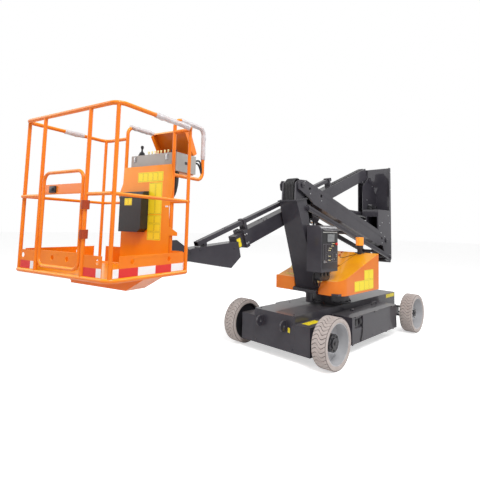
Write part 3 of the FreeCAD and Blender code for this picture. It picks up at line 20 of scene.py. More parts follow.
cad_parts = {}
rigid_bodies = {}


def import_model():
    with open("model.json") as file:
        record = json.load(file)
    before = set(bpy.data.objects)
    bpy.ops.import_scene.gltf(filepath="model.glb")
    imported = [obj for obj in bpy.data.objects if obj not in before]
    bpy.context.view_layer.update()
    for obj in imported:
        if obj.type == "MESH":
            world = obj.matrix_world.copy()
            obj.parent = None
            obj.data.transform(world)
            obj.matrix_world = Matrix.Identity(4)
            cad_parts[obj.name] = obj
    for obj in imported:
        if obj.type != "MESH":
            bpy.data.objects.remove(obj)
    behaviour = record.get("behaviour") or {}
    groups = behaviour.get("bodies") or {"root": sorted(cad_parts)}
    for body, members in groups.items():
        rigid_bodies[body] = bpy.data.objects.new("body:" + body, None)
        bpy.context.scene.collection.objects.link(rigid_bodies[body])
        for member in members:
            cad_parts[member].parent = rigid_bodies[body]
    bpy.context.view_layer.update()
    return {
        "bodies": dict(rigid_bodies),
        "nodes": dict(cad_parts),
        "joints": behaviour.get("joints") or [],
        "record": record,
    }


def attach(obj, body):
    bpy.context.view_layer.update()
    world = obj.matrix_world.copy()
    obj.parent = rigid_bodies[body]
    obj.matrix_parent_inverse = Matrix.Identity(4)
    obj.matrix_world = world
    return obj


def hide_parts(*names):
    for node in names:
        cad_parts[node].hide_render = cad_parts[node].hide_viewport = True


LOG = logging.getLogger("boom_lift")
MM = 0.001
HOOD_BACK, HOOD_FLAT, HOOD_NOSE, HOOD_TAIL = -0.498, 0.540, 0.862, 1.183
SHARP_ANGLE = math.radians(32)
PICTURE_PIXELS = 480


class Axis(Enum):
    """The direction in which a round or flat form stands."""

    X = (1, 0, 0)
    Y = (0, 1, 0)
    Z = (0, 0, 1)
    MINUS_Y = (0, -1, 0)
    MINUS_Z = (0, 0, -1)


class Slot(Enum):
    """The record's material slots."""

    DARK = "dark_paint"
    ORANGE = "orange_paint"
    RUBBER = "tyre_rubber"
    RIM = "rim_paint"
    CONSOLE = "console_grey"
    CHROME = "polished_rod"
    AMBER = "amber_lens"
    BLACK = "black_plastic"


class Wave:
    """One output socket of a node tree, with arithmetic that adds Math nodes."""

    def __init__(self, tree: bpy.types.NodeTree, socket: bpy.types.NodeSocket) -> None:
        """Keep the tree and the socket."""
        self.tree = tree
        self.socket = socket

    def _math(self, operation: str, *values: object) -> "Wave":
        """Add a Math node.

        Args:
            operation: The node's operation.
            values: Numbers or waves for its inputs.

        Returns:
            The node's result.
        """
        node = self.tree.nodes.new("ShaderNodeMath")
        node.operation = operation
        for entry, value in zip(node.inputs, values):
            if isinstance(value, Wave):
                self.tree.links.new(value.socket, entry)
            else:
                entry.default_value = value
        return Wave(self.tree, node.outputs[0])

    def __add__(self, other: object) -> "Wave":
        """Sum."""
        return self._math("ADD", self, other)

    __radd__ = __add__

    def __mul__(self, other: object) -> "Wave":
        """Product."""
        return self._math("MULTIPLY", self, other)

    __rmul__ = __mul__

    def __sub__(self, other: object) -> "Wave":
        """Difference."""
        return self._math("SUBTRACT", self, other)

    def __rsub__(self, other: object) -> "Wave":
        """Difference from a number."""
        return self._math("SUBTRACT", other, self)

    def __truediv__(self, other: object) -> "Wave":
        """Quotient."""
        return self._math("DIVIDE", self, other)

    def __pow__(self, other: object) -> "Wave":
        """Power."""
        return self._math("POWER", self, other)

    def above(self, level: float) -> "Wave":
        """1 where the value is over a level."""
        return self._math("GREATER_THAN", self, level)

    def sine(self) -> "Wave":
        """Sine of the value."""
        return self._math("SINE", self)

    def size(self) -> "Wave":
        """Value without its sign."""
        return self._math("ABSOLUTE", self)

    def clamped(self) -> "Wave":
        """Value held between 0 and 1."""
        return self._math("MINIMUM", self._math("MAXIMUM", self, 0.0), 1.0)


class Shader:
    """A material whose node tree ends in one Principled shader."""

    def __init__(self, name: str) -> None:
        """Start an empty tree with its shader and its object coordinates."""
        self.material = bpy.data.materials.new(name)
        self.material.use_nodes = True
        self.tree = self.material.node_tree
        self.tree.nodes.clear()
        self.output = self.tree.nodes.new("ShaderNodeOutputMaterial")
        self.surface = self.tree.nodes.new("ShaderNodeBsdfPrincipled")
        self.tree.links.new(self.surface.outputs[0], self.output.inputs["Surface"])
        place = self.tree.nodes.new("ShaderNodeTexCoord")
        self.place = Wave(self.tree, place.outputs["Object"])

    def add(self, kind: str, settings: dict[str, object], inputs: dict[object, object], out: object = 0) -> Wave:
        """Add any node.

        Args:
            kind: The node's type.
            settings: Its own settings, set first.
            inputs: Values or waves for its inputs, by name or number.
            out: The output that is wanted, by name or number.

        Returns:
            That output.
        """
        node = self.tree.nodes.new(kind)
        for name, value in settings.items():
            if name == "stops":
                ramp = node.color_ramp.elements
                while len(ramp) < len(value):
                    ramp.new(0.5)
                for stop, (position, colour) in zip(ramp, value):
                    stop.position = position
                    stop.color = (*colour, 1.0)
            else:
                setattr(node, name, value)
        for name, value in inputs.items():
            if isinstance(value, Wave):
                self.tree.links.new(value.socket, node.inputs[name])
            else:
                node.inputs[name].default_value = value
        return Wave(self.tree, node.outputs[out])

    def noise(self, scale: float, detail: float = 3.0, rough: float = 0.5, vector: Wave | None = None) -> Wave:
        """Noise on the object coordinates.

        Args:
            scale: Grains per metre.
            detail: Octaves.
            rough: Strength of the finer octaves.
            vector: Other coordinates to use.

        Returns:
            The noise, near 0.5.
        """
        inputs = {"Vector": vector or self.place, "Scale": scale, "Detail": detail, "Roughness": rough}
        return self.add("ShaderNodeTexNoise", {}, inputs, "Fac")

    def mix(self, share: Wave | float, first: Sequence[float] | Wave, second: Sequence[float] | Wave) -> Wave:
        """Blend two colours.

        Args:
            share: How much of the second.
            first: A colour or a wave.
            second: A colour or a wave.

        Returns:
            The blended colour.
        """
        node = self.tree.nodes.new("ShaderNodeMix")
        node.data_type = "RGBA"
        for name, value in ((0, share), (6, first), (7, second)):
            if isinstance(value, Wave):
                self.tree.links.new(value.socket, node.inputs[name])
            elif name == 0:
                node.inputs[0].default_value = value
            else:
                node.inputs[name].default_value = (*value, 1.0)
        return Wave(self.tree, node.outputs[2])

    def axis(self, letter: str) -> Wave:
        """One of the object coordinates, in metres."""
        return self.add("ShaderNodeSeparateXYZ", {}, {0: self.place}, letter)

    def facing_up(self) -> Wave:
        """1 on surfaces that face the sky, 0 on walls and undersides."""
        geometry = self.tree.nodes.new("ShaderNodeNewGeometry")
        normal = Wave(self.tree, geometry.outputs["Normal"])
        return self.add("ShaderNodeSeparateXYZ", {}, {0: normal}, "Z").clamped()

    def bump(self, height: Wave, strength: float, distance: float) -> None:
        """Feed a height to the shader's normal."""
        inputs = {"Height": height, "Strength": strength, "Distance": distance}
        self.set(Normal=self.add("ShaderNodeBump", {}, inputs, "Normal"))

    def set(self, **sockets: object) -> None:
        """Set the shader's inputs; underscores in the names stand for blanks."""
        for name, value in sockets.items():
            entry = self.surface.inputs[name.replace("_", " ")]
            if isinstance(value, Wave):
                self.tree.links.new(value.socket, entry)
            elif isinstance(value, tuple) and len(value) == 3:
                entry.default_value = (*value, 1.0)
            else:
                entry.default_value = value


@dataclass(frozen=True)
class Paint:
    """Sprayed enamel with orange peel, faint mottling and a second colour on what faces up: grey dust on most enamels,
    a painted yellow highlight on the orange ones.
    """

    name: str
    colour: tuple[float, float, float]
    shade: tuple[float, float, float]
    dust_and_top_highlight: tuple[float, float, float] = (0.42, 0.39, 0.36)
    dust_and_highlight_share: float = 0.10
    rough: float = 0.34
    coat: float = 0.25
    metal: float = 0.0

    def material(self) -> bpy.types.Material:
        """Build the node tree."""
        shader = Shader(self.name)
        cloud = shader.noise(3.5, 4.0, 0.6)
        grain = shader.noise(60.0, 2.0)
        mottled = shader.mix(((cloud - 0.42) * 4.0).clamped(), self.colour, self.shade)
        # What faces up takes a second colour: grey dust on most enamels, a painted highlight in yellow on the orange
        # ones.
        dust_and_highlight_mask = (shader.facing_up() * self.dust_and_highlight_share * (cloud + grain * 0.6)).clamped()
        shader.set(Base_Color=shader.mix(dust_and_highlight_mask, mottled, self.dust_and_top_highlight), Metallic=self.metal, Coat_Weight=self.coat,
                   Coat_Roughness=0.08, Specular_IOR_Level=0.2,
                   Roughness=(cloud * 0.14 + grain * 0.08 + self.rough - 0.08))
        shader.bump(shader.noise(240.0, 1.0), 0.05, 0.0005)
        return shader.material


@dataclass(frozen=True)
class Rubber:
    """Pale non-marking tyre rubber with painted shade in its grooves, scuffed on its tread."""

    name: str
    colour: tuple[float, float, float] = (0.44, 0.385, 0.362)
    scuffed: tuple[float, float, float] = (0.55, 0.49, 0.462)
    # Colour of the painted shade in the grooves.
    groove: tuple[float, float, float] = (0.135, 0.112, 0.104)
    centre: tuple[float, float] = (0.0, 0.0)
    tread_radius: float = 0.279
    groove_depth: float = 0.009

    def material(self) -> bpy.types.Material:
        """Build the node tree."""
        shader = Shader(self.name)
        across = shader.axis("X") - self.centre[0]
        up = shader.axis("Z") - self.centre[1]
        radius = (across * across + up * up) ** 0.5
        depth = ((self.tread_radius - radius) / self.groove_depth).clamped()
        patch = shader.noise(14.0, 5.0, 0.65)
        worn = ((patch - 0.4) * 2.2).clamped()
        plain = shader.mix(worn, self.colour, self.scuffed)
        # Below the tread the grooves take a darker colour: painted shade in the recesses.
        painted_groove_shade = (depth * 1.6 - 0.55).clamped() * (radius - self.tread_radius + self.groove_depth * 1.35).above(0.0)
        shader.set(Base_Color=shader.mix(painted_groove_shade, plain, self.groove), Roughness=patch * 0.2 + 0.68)
        shader.bump(shader.noise(260.0, 4.0, 0.7), 0.35, 0.0012)
        return shader.material


@dataclass(frozen=True)
class Moulded:
    """Moulded plastic or cast finish: even colour, fine grain, slight sheen."""

    name: str
    colour: tuple[float, float, float]
    rough: float = 0.45
    grain: float = 700.0
    metal: float = 0.0
    emit: float = 0.0

    def material(self) -> bpy.types.Material:
        """Build the node tree."""
        shader = Shader(self.name)
        cloud = shader.noise(25.0, 3.0)
        darker = tuple(value * 0.82 for value in self.colour)
        shader.set(Base_Color=shader.mix(((cloud - 0.35) * 2.5).clamped(), darker, self.colour), Metallic=self.metal,
                   Roughness=cloud * 0.16 + self.rough - 0.08)
        if self.emit:
            shader.set(Emission_Color=self.colour, Emission_Strength=self.emit)
        shader.bump(shader.noise(self.grain, 2.0), 0.18, 0.0004)
        return shader.material


@dataclass(frozen=True)
class Sticker:
    """Printed vinyl: matt colour, a faint crinkle and slightly grubby patches."""

    name: str
    colour: tuple[float, float, float]
    grubby: tuple[float, float, float]

    def material(self) -> bpy.types.Material:
        """Build the node tree."""
        shader = Shader(self.name)
        patch = ((shader.noise(30.0, 4.0, 0.7) - 0.5) * 3.0).clamped()
        shader.set(Base_Color=shader.mix(patch * 0.5, self.colour, self.grubby), Roughness=patch * 0.15 + 0.38)
        shader.bump(shader.noise(90.0, 2.0), 0.1, 0.0008)
        return shader.material


@dataclass(frozen=True)
class Film:
    """Thin clouded packing film, crumpled round a tube."""

    name: str
    colour: tuple[float, float, float] = (0.66, 0.64, 0.66)

    def material(self) -> bpy.types.Material:
        """Build the node tree."""
        shader = Shader(self.name)
        fold = shader.noise(14.0, 2.0, 0.45)
        shader.set(Base_Color=self.colour, Roughness=fold * 0.3 + 0.15, Alpha=((fold - 0.5) * 0.5 + 0.80).clamped())
        shader.bump(fold, 0.35, 0.005)
        return shader.material


@dataclass(frozen=True)
class Rim:
    """Silver enamel of a wheel with a black hub in its middle; behind the disc its inner side is black too, partly
    painted shade and partly the dark inner disc.
    """

    name: str
    centre: tuple[float, float]
    hub_radius: float
    colour: tuple[float, float, float] = (0.50, 0.50, 0.515)
    shade: tuple[float, float, float] = (0.58, 0.58, 0.595)
    hub: tuple[float, float, float] = (0.018, 0.017, 0.021)
    middle: float = 0.0
    side: int = 1
    back: float = -0.0547

    def material(self) -> bpy.types.Material:
        """Build the node tree."""
        shader = Shader(self.name)
        across = shader.axis("X") - self.centre[0]
        up = shader.axis("Z") - self.centre[1]
        # On the inner side, behind the disc, the rim takes the hub's black: partly painted shade, partly the dark inner
        # disc.
        ahead = ((shader.axis("Y") - self.middle) * self.side).above(self.back)
        outside = ((across * across + up * up) ** 0.5).above(self.hub_radius) * ahead
        cloud = shader.noise(9.0, 4.0, 0.6)
        silver = shader.mix(((cloud - 0.4) * 3.0).clamped(), self.colour, self.shade)
        shader.set(Base_Color=shader.mix(outside, self.hub, silver), Roughness=cloud * 0.15 + 0.27,
                   Metallic=outside * 0.25, Coat_Weight=0.2)
        shader.bump(shader.noise(380.0, 1.0), 0.12, 0.0006)
        return shader.material


@dataclass(frozen=True)
class Lens:
    """Clear coloured plastic of a lamp on a black foot, lit a little from inside."""

    name: str
    foot_top: float
    colour: tuple[float, float, float] = (1.0, 0.30, 0.012)
    foot: tuple[float, float, float] = (0.030, 0.020, 0.020)

    def material(self) -> bpy.types.Material:
        """Build the node tree."""
        shader = Shader(self.name)
        height = shader.axis("Z")
        lens = height.above(self.foot_top)
        ring = ((height * 900.0).sine() + 1.0) * 0.5
        paler = tuple(min(1.0, value * 1.35 + 0.02) for value in self.colour)
        amber = shader.mix(ring * 0.6, self.colour, paler)
        shader.set(Base_Color=shader.mix(lens, self.foot, amber), Roughness=lens * -0.26 + 0.42,
                   Emission_Color=shader.mix(lens, (0.0, 0.0, 0.0), self.colour), Emission_Strength=0.22,
                   Coat_Weight=lens * 0.6)
        shader.bump(ring, 0.35, 0.0012)
        return shader.material


FINISHES = {
    "dark": Paint("dark_enamel", (0.036, 0.033, 0.042), (0.046, 0.043, 0.052), dust_and_highlight_share=0.09, rough=0.36, coat=0.5),
    # The yellow mixed in on the upward faces of both orange enamels is a painted highlight.
    "orange": Paint("orange_enamel", (0.79, 0.175, 0.006), (0.82, 0.205, 0.007), (1.0, 0.46, 0.003), 0.80, 0.32, 0.4),
    "panel_orange": Paint("panel_enamel", (0.86, 0.25, 0.006), (0.90, 0.29, 0.007), (1.0, 0.46, 0.003), 0.5, 0.32, 0.4),
    "hinge": Paint("rust_red_enamel", (0.33, 0.042, 0.012), (0.36, 0.055, 0.016), dust_and_highlight_share=0.05),
    "rim": Paint("silver_enamel", (0.36, 0.36, 0.375), (0.42, 0.42, 0.44), dust_and_highlight_share=0.05, rough=0.32, metal=0.25),
    "console": Paint("warm_grey_enamel", (0.35, 0.33, 0.31), (0.40, 0.375, 0.35), dust_and_highlight_share=0.05, rough=0.38),
    "black": Moulded("black_plastic", (0.022, 0.021, 0.024), 0.42),
    "panel": Moulded("panel_overlay", (0.020, 0.015, 0.020), 0.42),
    "glass": Moulded("grey_display", (0.24, 0.245, 0.25), 0.16, 60.0),
    "hose": Moulded("hose_rubber", (0.017, 0.016, 0.018), 0.52, 900.0),
    "zinc": Moulded("bright_zinc", (0.60, 0.60, 0.61), 0.30, 500.0, 0.9),
    "chrome": Moulded("polished_chrome", (0.72, 0.72, 0.74), 0.10, 120.0, 1.0),
    "bronze": Moulded("yellow_brass", (0.72, 0.52, 0.20), 0.30, 500.0, 0.9),
    "red": Moulded("red_knob", (0.72, 0.028, 0.018), 0.28),
    "cream": Moulded("cream_plastic", (0.93, 0.80, 0.38), 0.35),
    "yellow_cap": Moulded("yellow_guard", (0.93, 0.60, 0.05), 0.33),
    "white": Moulded("white_cap", (0.78, 0.77, 0.74), 0.35),
    "label": Sticker("yellow_label", (0.93, 0.74, 0.018), (0.82, 0.62, 0.03)),
    "label_line": Sticker("label_border", (0.12, 0.10, 0.03), (0.08, 0.07, 0.03)),
    "tape_red": Sticker("tape_red", (0.66, 0.018, 0.014), (0.48, 0.02, 0.015)),
    "tape_white": Sticker("tape_white", (0.80, 0.76, 0.77), (0.66, 0.60, 0.60)),
    "film": Film("packing_film"),
    "lens": Lens("amber_lens", 1.2885),
    "bare": Moulded("dusty_sole", (0.20, 0.19, 0.185), 0.6),
    "grille": Moulded("dark_grille", (0.012, 0.012, 0.013), 0.6),
}
MADE: dict[str, bpy.types.Material] = {}


def finish_of(name: str) -> bpy.types.Material:
    """The material of a named finish, made once.

    Args:
        name: A key of FINISHES.

    Returns:
        The Blender material.
    """
    if name not in MADE:
        MADE[name] = FINISHES[name].material()
    return MADE[name]


class Form:
    """A mesh under construction in the frame of one sub-assembly, in metres."""

    def __init__(self) -> None:
        """Start empty."""
        self.mesh = bmesh.new()

    def take(self, part: bmesh.types.BMesh, place: Matrix | None = None) -> None:
        """Add a finished part of a form and free it.

        Args:
            part: The bmesh to take in.
            place: Where it goes.
        """
        if place is not None:
            bmesh.ops.transform(part, matrix=place, verts=part.verts)
        scratch = bpy.data.meshes.new("scratch")
        part.to_mesh(scratch)
        part.free()
        self.mesh.from_mesh(scratch)
        bpy.data.meshes.remove(scratch)

    @staticmethod
    def rounded(part: bmesh.types.BMesh, width: float, segments: int = 2) -> None:
        """Bevel a part's sharp edges.

        Args:
            part: The bmesh.
            width: How far the bevel reaches.
            segments: Its steps.
        """
        sharp = [edge for edge in part.edges if len(edge.link_faces) == 2 and edge.calc_face_angle(0.0) > SHARP_ANGLE]
        if width > 0 and sharp:
            bmesh.ops.bevel(part, geom=sharp, offset=width, offset_type="OFFSET", affect="EDGES", segments=segments,
                            profile=0.5, material=-1, clamp_overlap=True)

    def block(self, low: Sequence[float], high: Sequence[float], bevel: float = 0.0015, place: Matrix | None = None) -> None:
        """Add a box with bevelled edges.

        Args:
            low: Its lowest corner.
            high: Its highest corner.
            bevel: The bevel's reach.
            place: Where it goes.
        """
        part = bmesh.new()
        bmesh.ops.create_cube(part, size=1.0)
        low, high = Vector(low), Vector(high)
        bmesh.ops.scale(part, vec=high - low, verts=part.verts)
        bmesh.ops.translate(part, vec=(low + high) / 2, verts=part.verts)
        self.rounded(part, bevel)
        self.take(part, place)

    def disc(self, centre: Sequence[float], axis: Axis, radius: float, length: float, bevel: float = 0.001,
             sides: int = 24, top: float | None = None, place: Matrix | None = None) -> None:
        """Add a round bar or cone that stands on its centre.

        Args:
            centre: The middle of its foot.
            axis: The way it stands.
            radius: Its foot's radius.
            length: Its length.
            bevel: The bevel of its rims.
            sides: Its facets; 6 makes a hexagon.
            top: Its top's radius, if that differs.
            place: Where it goes.
        """
        part = bmesh.new()
        bmesh.ops.create_cone(part, cap_ends=True, segments=sides, radius1=radius, radius2=radius if top is None else top,
                              depth=length)
        bmesh.ops.translate(part, vec=(0, 0, length / 2), verts=part.verts)
        caps = [edge for edge in part.edges if any(len(face.verts) > 4 for face in edge.link_faces)]
        if bevel > 0:
            bmesh.ops.bevel(part, geom=caps, offset=bevel, offset_type="OFFSET", affect="EDGES", segments=2, profile=0.5,
                            material=-1, clamp_overlap=True)
        turn = Vector((0, 0, 1)).rotation_difference(Vector(axis.value)).to_matrix().to_4x4()
        move = Matrix.Translation(Vector(centre)) @ turn
        self.take(part, move if place is None else place @ move)

    def bolt(self, centre: Sequence[float], axis: Axis, width: float = 0.018, place: Matrix | None = None) -> None:
        """Add a hexagon head on a washer.

        Args:
            centre: Its seat.
            axis: The way it stands out.
            width: The head's width.
            place: Where it goes.
        """
        across = Vector(axis.value)
        self.disc(centre, axis, width * 0.72, width * 0.12, 0.0, 20, place=place)
        self.disc(Vector(centre) + across * width * 0.12, axis, width * 0.56, width * 0.42, width * 0.05, 6, place=place)

    def sweep(self, outline: Sequence[tuple[float, float]], low: float, high: float, axis: Axis = Axis.Y,
              bevel: float = 0.0015, place: Matrix | None = None) -> None:
        """Push a flat outline along an axis.

        Args:
            outline: Its corners as the two other coordinates in X, Y, Z order.
            low: Where it starts.
            high: Where it ends.
            axis: X, Y or Z.
            bevel: The bevel's reach.
            place: Where it goes.
        """
        spread = {
            Axis.X: lambda a, b: (low, a, b),
            Axis.Y: lambda a, b: (a, low, b),
            Axis.Z: lambda a, b: (a, b, low),
        }[axis]
        part = bmesh.new()
        corners = [part.verts.new(spread(a, b)) for a, b in outline]
        face = part.faces.new(corners)
        pushed = bmesh.ops.extrude_face_region(part, geom=[face])
        moved = [item for item in pushed["geom"] if isinstance(item, bmesh.types.BMVert)]
        bmesh.ops.translate(part, vec=Vector(axis.value) * (high - low), verts=moved)
        bmesh.ops.recalc_face_normals(part, faces=part.faces)
        self.rounded(part, bevel)
        self.take(part, place)

    def lathe(self, profile: Sequence[tuple[float, float]], centre: Sequence[float], axis: Axis, steps: int = 32,
              place: Matrix | None = None) -> None:
        """Spin a profile that starts and ends on its axis.

        Args:
            profile: Pairs of radius and height.
            centre: The foot of its axis.
            axis: The way it stands.
            steps: Facets round.
            place: Where it goes.
        """
        part = bmesh.new()
        points = [part.verts.new((radius, 0, height)) for radius, height in profile]
        edges = [part.edges.new(pair) for pair in zip(points, points[1:])]
        bmesh.ops.spin(part, geom=points + edges, cent=(0, 0, 0), axis=(0, 0, 1), angle=math.tau, steps=steps,
                       use_merge=True)
        bmesh.ops.remove_doubles(part, verts=part.verts, dist=1e-6)
        bmesh.ops.recalc_face_normals(part, faces=part.faces)
        turn = Vector((0, 0, 1)).rotation_difference(Vector(axis.value)).to_matrix().to_4x4()
        move = Matrix.Translation(Vector(centre)) @ turn
        self.take(part, move if place is None else place @ move)

    def ring(self, centre: Sequence[float], axis: Axis, inner: float, outer: float, length: float,
             place: Matrix | None = None) -> None:
        """Add an open sleeve that stands on its centre.

        Args:
            centre: The middle of its foot.
            axis: The way it stands.
            inner: Its bore's radius.
            outer: Its outer radius.
            length: Its length.
            place: Where it goes.
        """
        soft = min(0.001, (outer - inner) / 3)
        profile = [(inner, 0.0), (outer - soft, 0.0), (outer, soft), (outer, length - soft), (outer - soft, length),
                   (inner, length)]
        self.sleeve(profile, centre, axis, place=place)

    def sleeve(self, profile: Sequence[tuple[float, float]], centre: Sequence[float], axis: Axis, steps: int = 28,
               place: Matrix | None = None) -> None:
        """Spin a closed profile round an axis.

        Args:
            profile: Pairs of radius and height.
            centre: The foot of its axis.
            axis: The way it stands.
            steps: Facets round.
            place: Where it goes.
        """
        part = bmesh.new()
        points = [part.verts.new((radius, 0, height)) for radius, height in profile]
        edges = [part.edges.new((points[i], points[(i + 1) % len(points)])) for i in range(len(points))]
        bmesh.ops.spin(part, geom=points + edges, cent=(0, 0, 0), axis=(0, 0, 1), angle=math.tau, steps=steps,
                       use_merge=True)
        bmesh.ops.remove_doubles(part, verts=part.verts, dist=1e-6)
        bmesh.ops.recalc_face_normals(part, faces=part.faces)
        turn = Vector((0, 0, 1)).rotation_difference(Vector(axis.value)).to_matrix().to_4x4()
        move = Matrix.Translation(Vector(centre)) @ turn
        self.take(part, move if place is None else place @ move)

    def done(self, name: str, finish: str, body: str, slot: Slot | None = None, place: Matrix | None = None,
             replaces: Iterable[str] = ()) -> bpy.types.Object:
        """Make the form an object that rides on a body.

        Args:
            name: The piece's name.
            finish: A key of FINISHES.
            body: The body that it rides on.
            slot: The record's slot of its finish; not used.
            place: The frame that the form was drawn in.
            replaces: The nodes that it stands for.

        Returns:
            The new object.
        """
        if place is not None:
            bmesh.ops.transform(self.mesh, matrix=place, verts=self.mesh.verts)
        for face in self.mesh.faces:
            face.smooth = True
        for edge in self.mesh.edges:
            edge.smooth = len(edge.link_faces) == 2 and edge.calc_face_angle(0.0) < SHARP_ANGLE
        data = bpy.data.meshes.new(name)
        self.mesh.to_mesh(data)
        self.mesh.free()
        piece = bpy.data.objects.new(name, data)
        bpy.context.scene.collection.objects.link(piece)
        data.materials.append(finish_of(finish))
        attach(piece, body)
        names = list(replaces)
        if names:
            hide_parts(*names)
        LOG.info("%s: %d faces on %s", name, len(data.polygons), body)
        return piece


def hose(name: str, points: Sequence[Sequence[float]], radius: float, finish: str, body: str,
         place: Matrix | None = None, fineness: int = 8) -> bpy.types.Object:
    """A short fixed cable or hose as a mesh round a smooth line.

    Args:
        name: The piece's name.
        points: Control points of its line.
        radius: Its radius.
        finish: A key of FINISHES.
        body: The body that it rides on.
        place: The frame of the points.
        fineness: Steps between two points.

    Returns:
        The new object.
    """
    curve = bpy.data.curves.new(name + "_line", "CURVE")
    curve.dimensions = "3D"
    curve.resolution_u = fineness
    curve.bevel_depth = radius
    curve.bevel_resolution = 3
    curve.use_fill_caps = True
    spline = curve.splines.new("NURBS")
    spline.points.add(len(points) - 1)
    for point, spot in zip(spline.points, points):
        point.co = (*((place or Matrix.Identity(4)) @ Vector(spot)), 1.0)
    spline.order_u = 3
    spline.use_endpoint_u = True
    line = bpy.data.objects.new(name + "_line", curve)
    bpy.context.scene.collection.objects.link(line)
    bpy.context.view_layer.update()
    data = bpy.data.meshes.new_from_object(line.evaluated_get(bpy.context.evaluated_depsgraph_get()))
    bpy.data.objects.remove(line)
    bpy.data.curves.remove(curve)
    data.name = name
    data.materials.clear()
    data.materials.append(finish_of(finish))
    for face in data.polygons:
        face.use_smooth = True
    piece = bpy.data.objects.new(name, data)
    bpy.context.scene.collection.objects.link(piece)
    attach(piece, body)
    return piece


class Places:
    """The frames of the sub-assemblies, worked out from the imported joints."""

    def __init__(self, frame: dict) -> None:
        """Read the joints' places and directions.
        """
        joints = {joint["name"]: joint for joint in frame["joints"]}

        def spot(name: str) -> Vector:
            """A joint's place."""
            return Vector(joints[name]["pos_m"])

        self.wheels = {word: spot(f"spin_{word}") for word in ("front_left", "front_right", "rear_left", "rear_right")}
        middle = (self.wheels["front_left"].x + self.wheels["rear_left"].x) / 2
        self.chassis = Matrix.Translation((middle, 0, 0))
        self.slew = Matrix.Translation((spot("slew").x, 0, 0))
        front, rear = spot("riser_lift"), spot("upright_turn")
        self.arm_length = (front - rear).length
        self.arm = self._frame(front, (front - rear).normalized())
        self.upright = Matrix.Translation(rear)
        self.boom = self._frame(spot("boom_lift"), Vector(joints["telescope"]["axis"]))
        self.level = Matrix.Translation(spot("platform_level"))
        self.nose = Matrix.Translation(spot("platform_level") - Vector((0.758, 0, -0.119)))
        turner = spot("platform_turn")
        across = joints["cover_hinge"]["axis"]
        yaw = math.atan2(-across[0], across[1])
        self.cage = Matrix.Translation((turner.x, turner.y, 0)) @ Matrix.Rotation(yaw, 4, "Z")
        self.turner = Matrix.Translation((turner.x, turner.y, 0))
        self.cover_hinge = self.cage.inverted() @ spot("cover_hinge")
        self.gate_hinge = self.cage.inverted() @ spot("gate_hinge")
        fall = math.atan2(HOOD_TAIL - HOOD_NOSE, HOOD_FLAT - HOOD_BACK)
        self.hood = self.slew @ Matrix.Translation((HOOD_FLAT, 0, HOOD_NOSE)) @ Matrix.Rotation(fall, 4, "Y")

    @staticmethod
    def _frame(origin: Vector, ahead: Vector) -> Matrix:
        """A frame in the machine's upright plane.

        Args:
            origin: Its zero.
            ahead: Its +X.

        Returns:
            The matrix.
        """
        across = Vector((0, 1, 0))
        up = ahead.cross(across).normalized()
        return Matrix.Translation(origin) @ Matrix((ahead, across, up)).transposed().to_4x4()


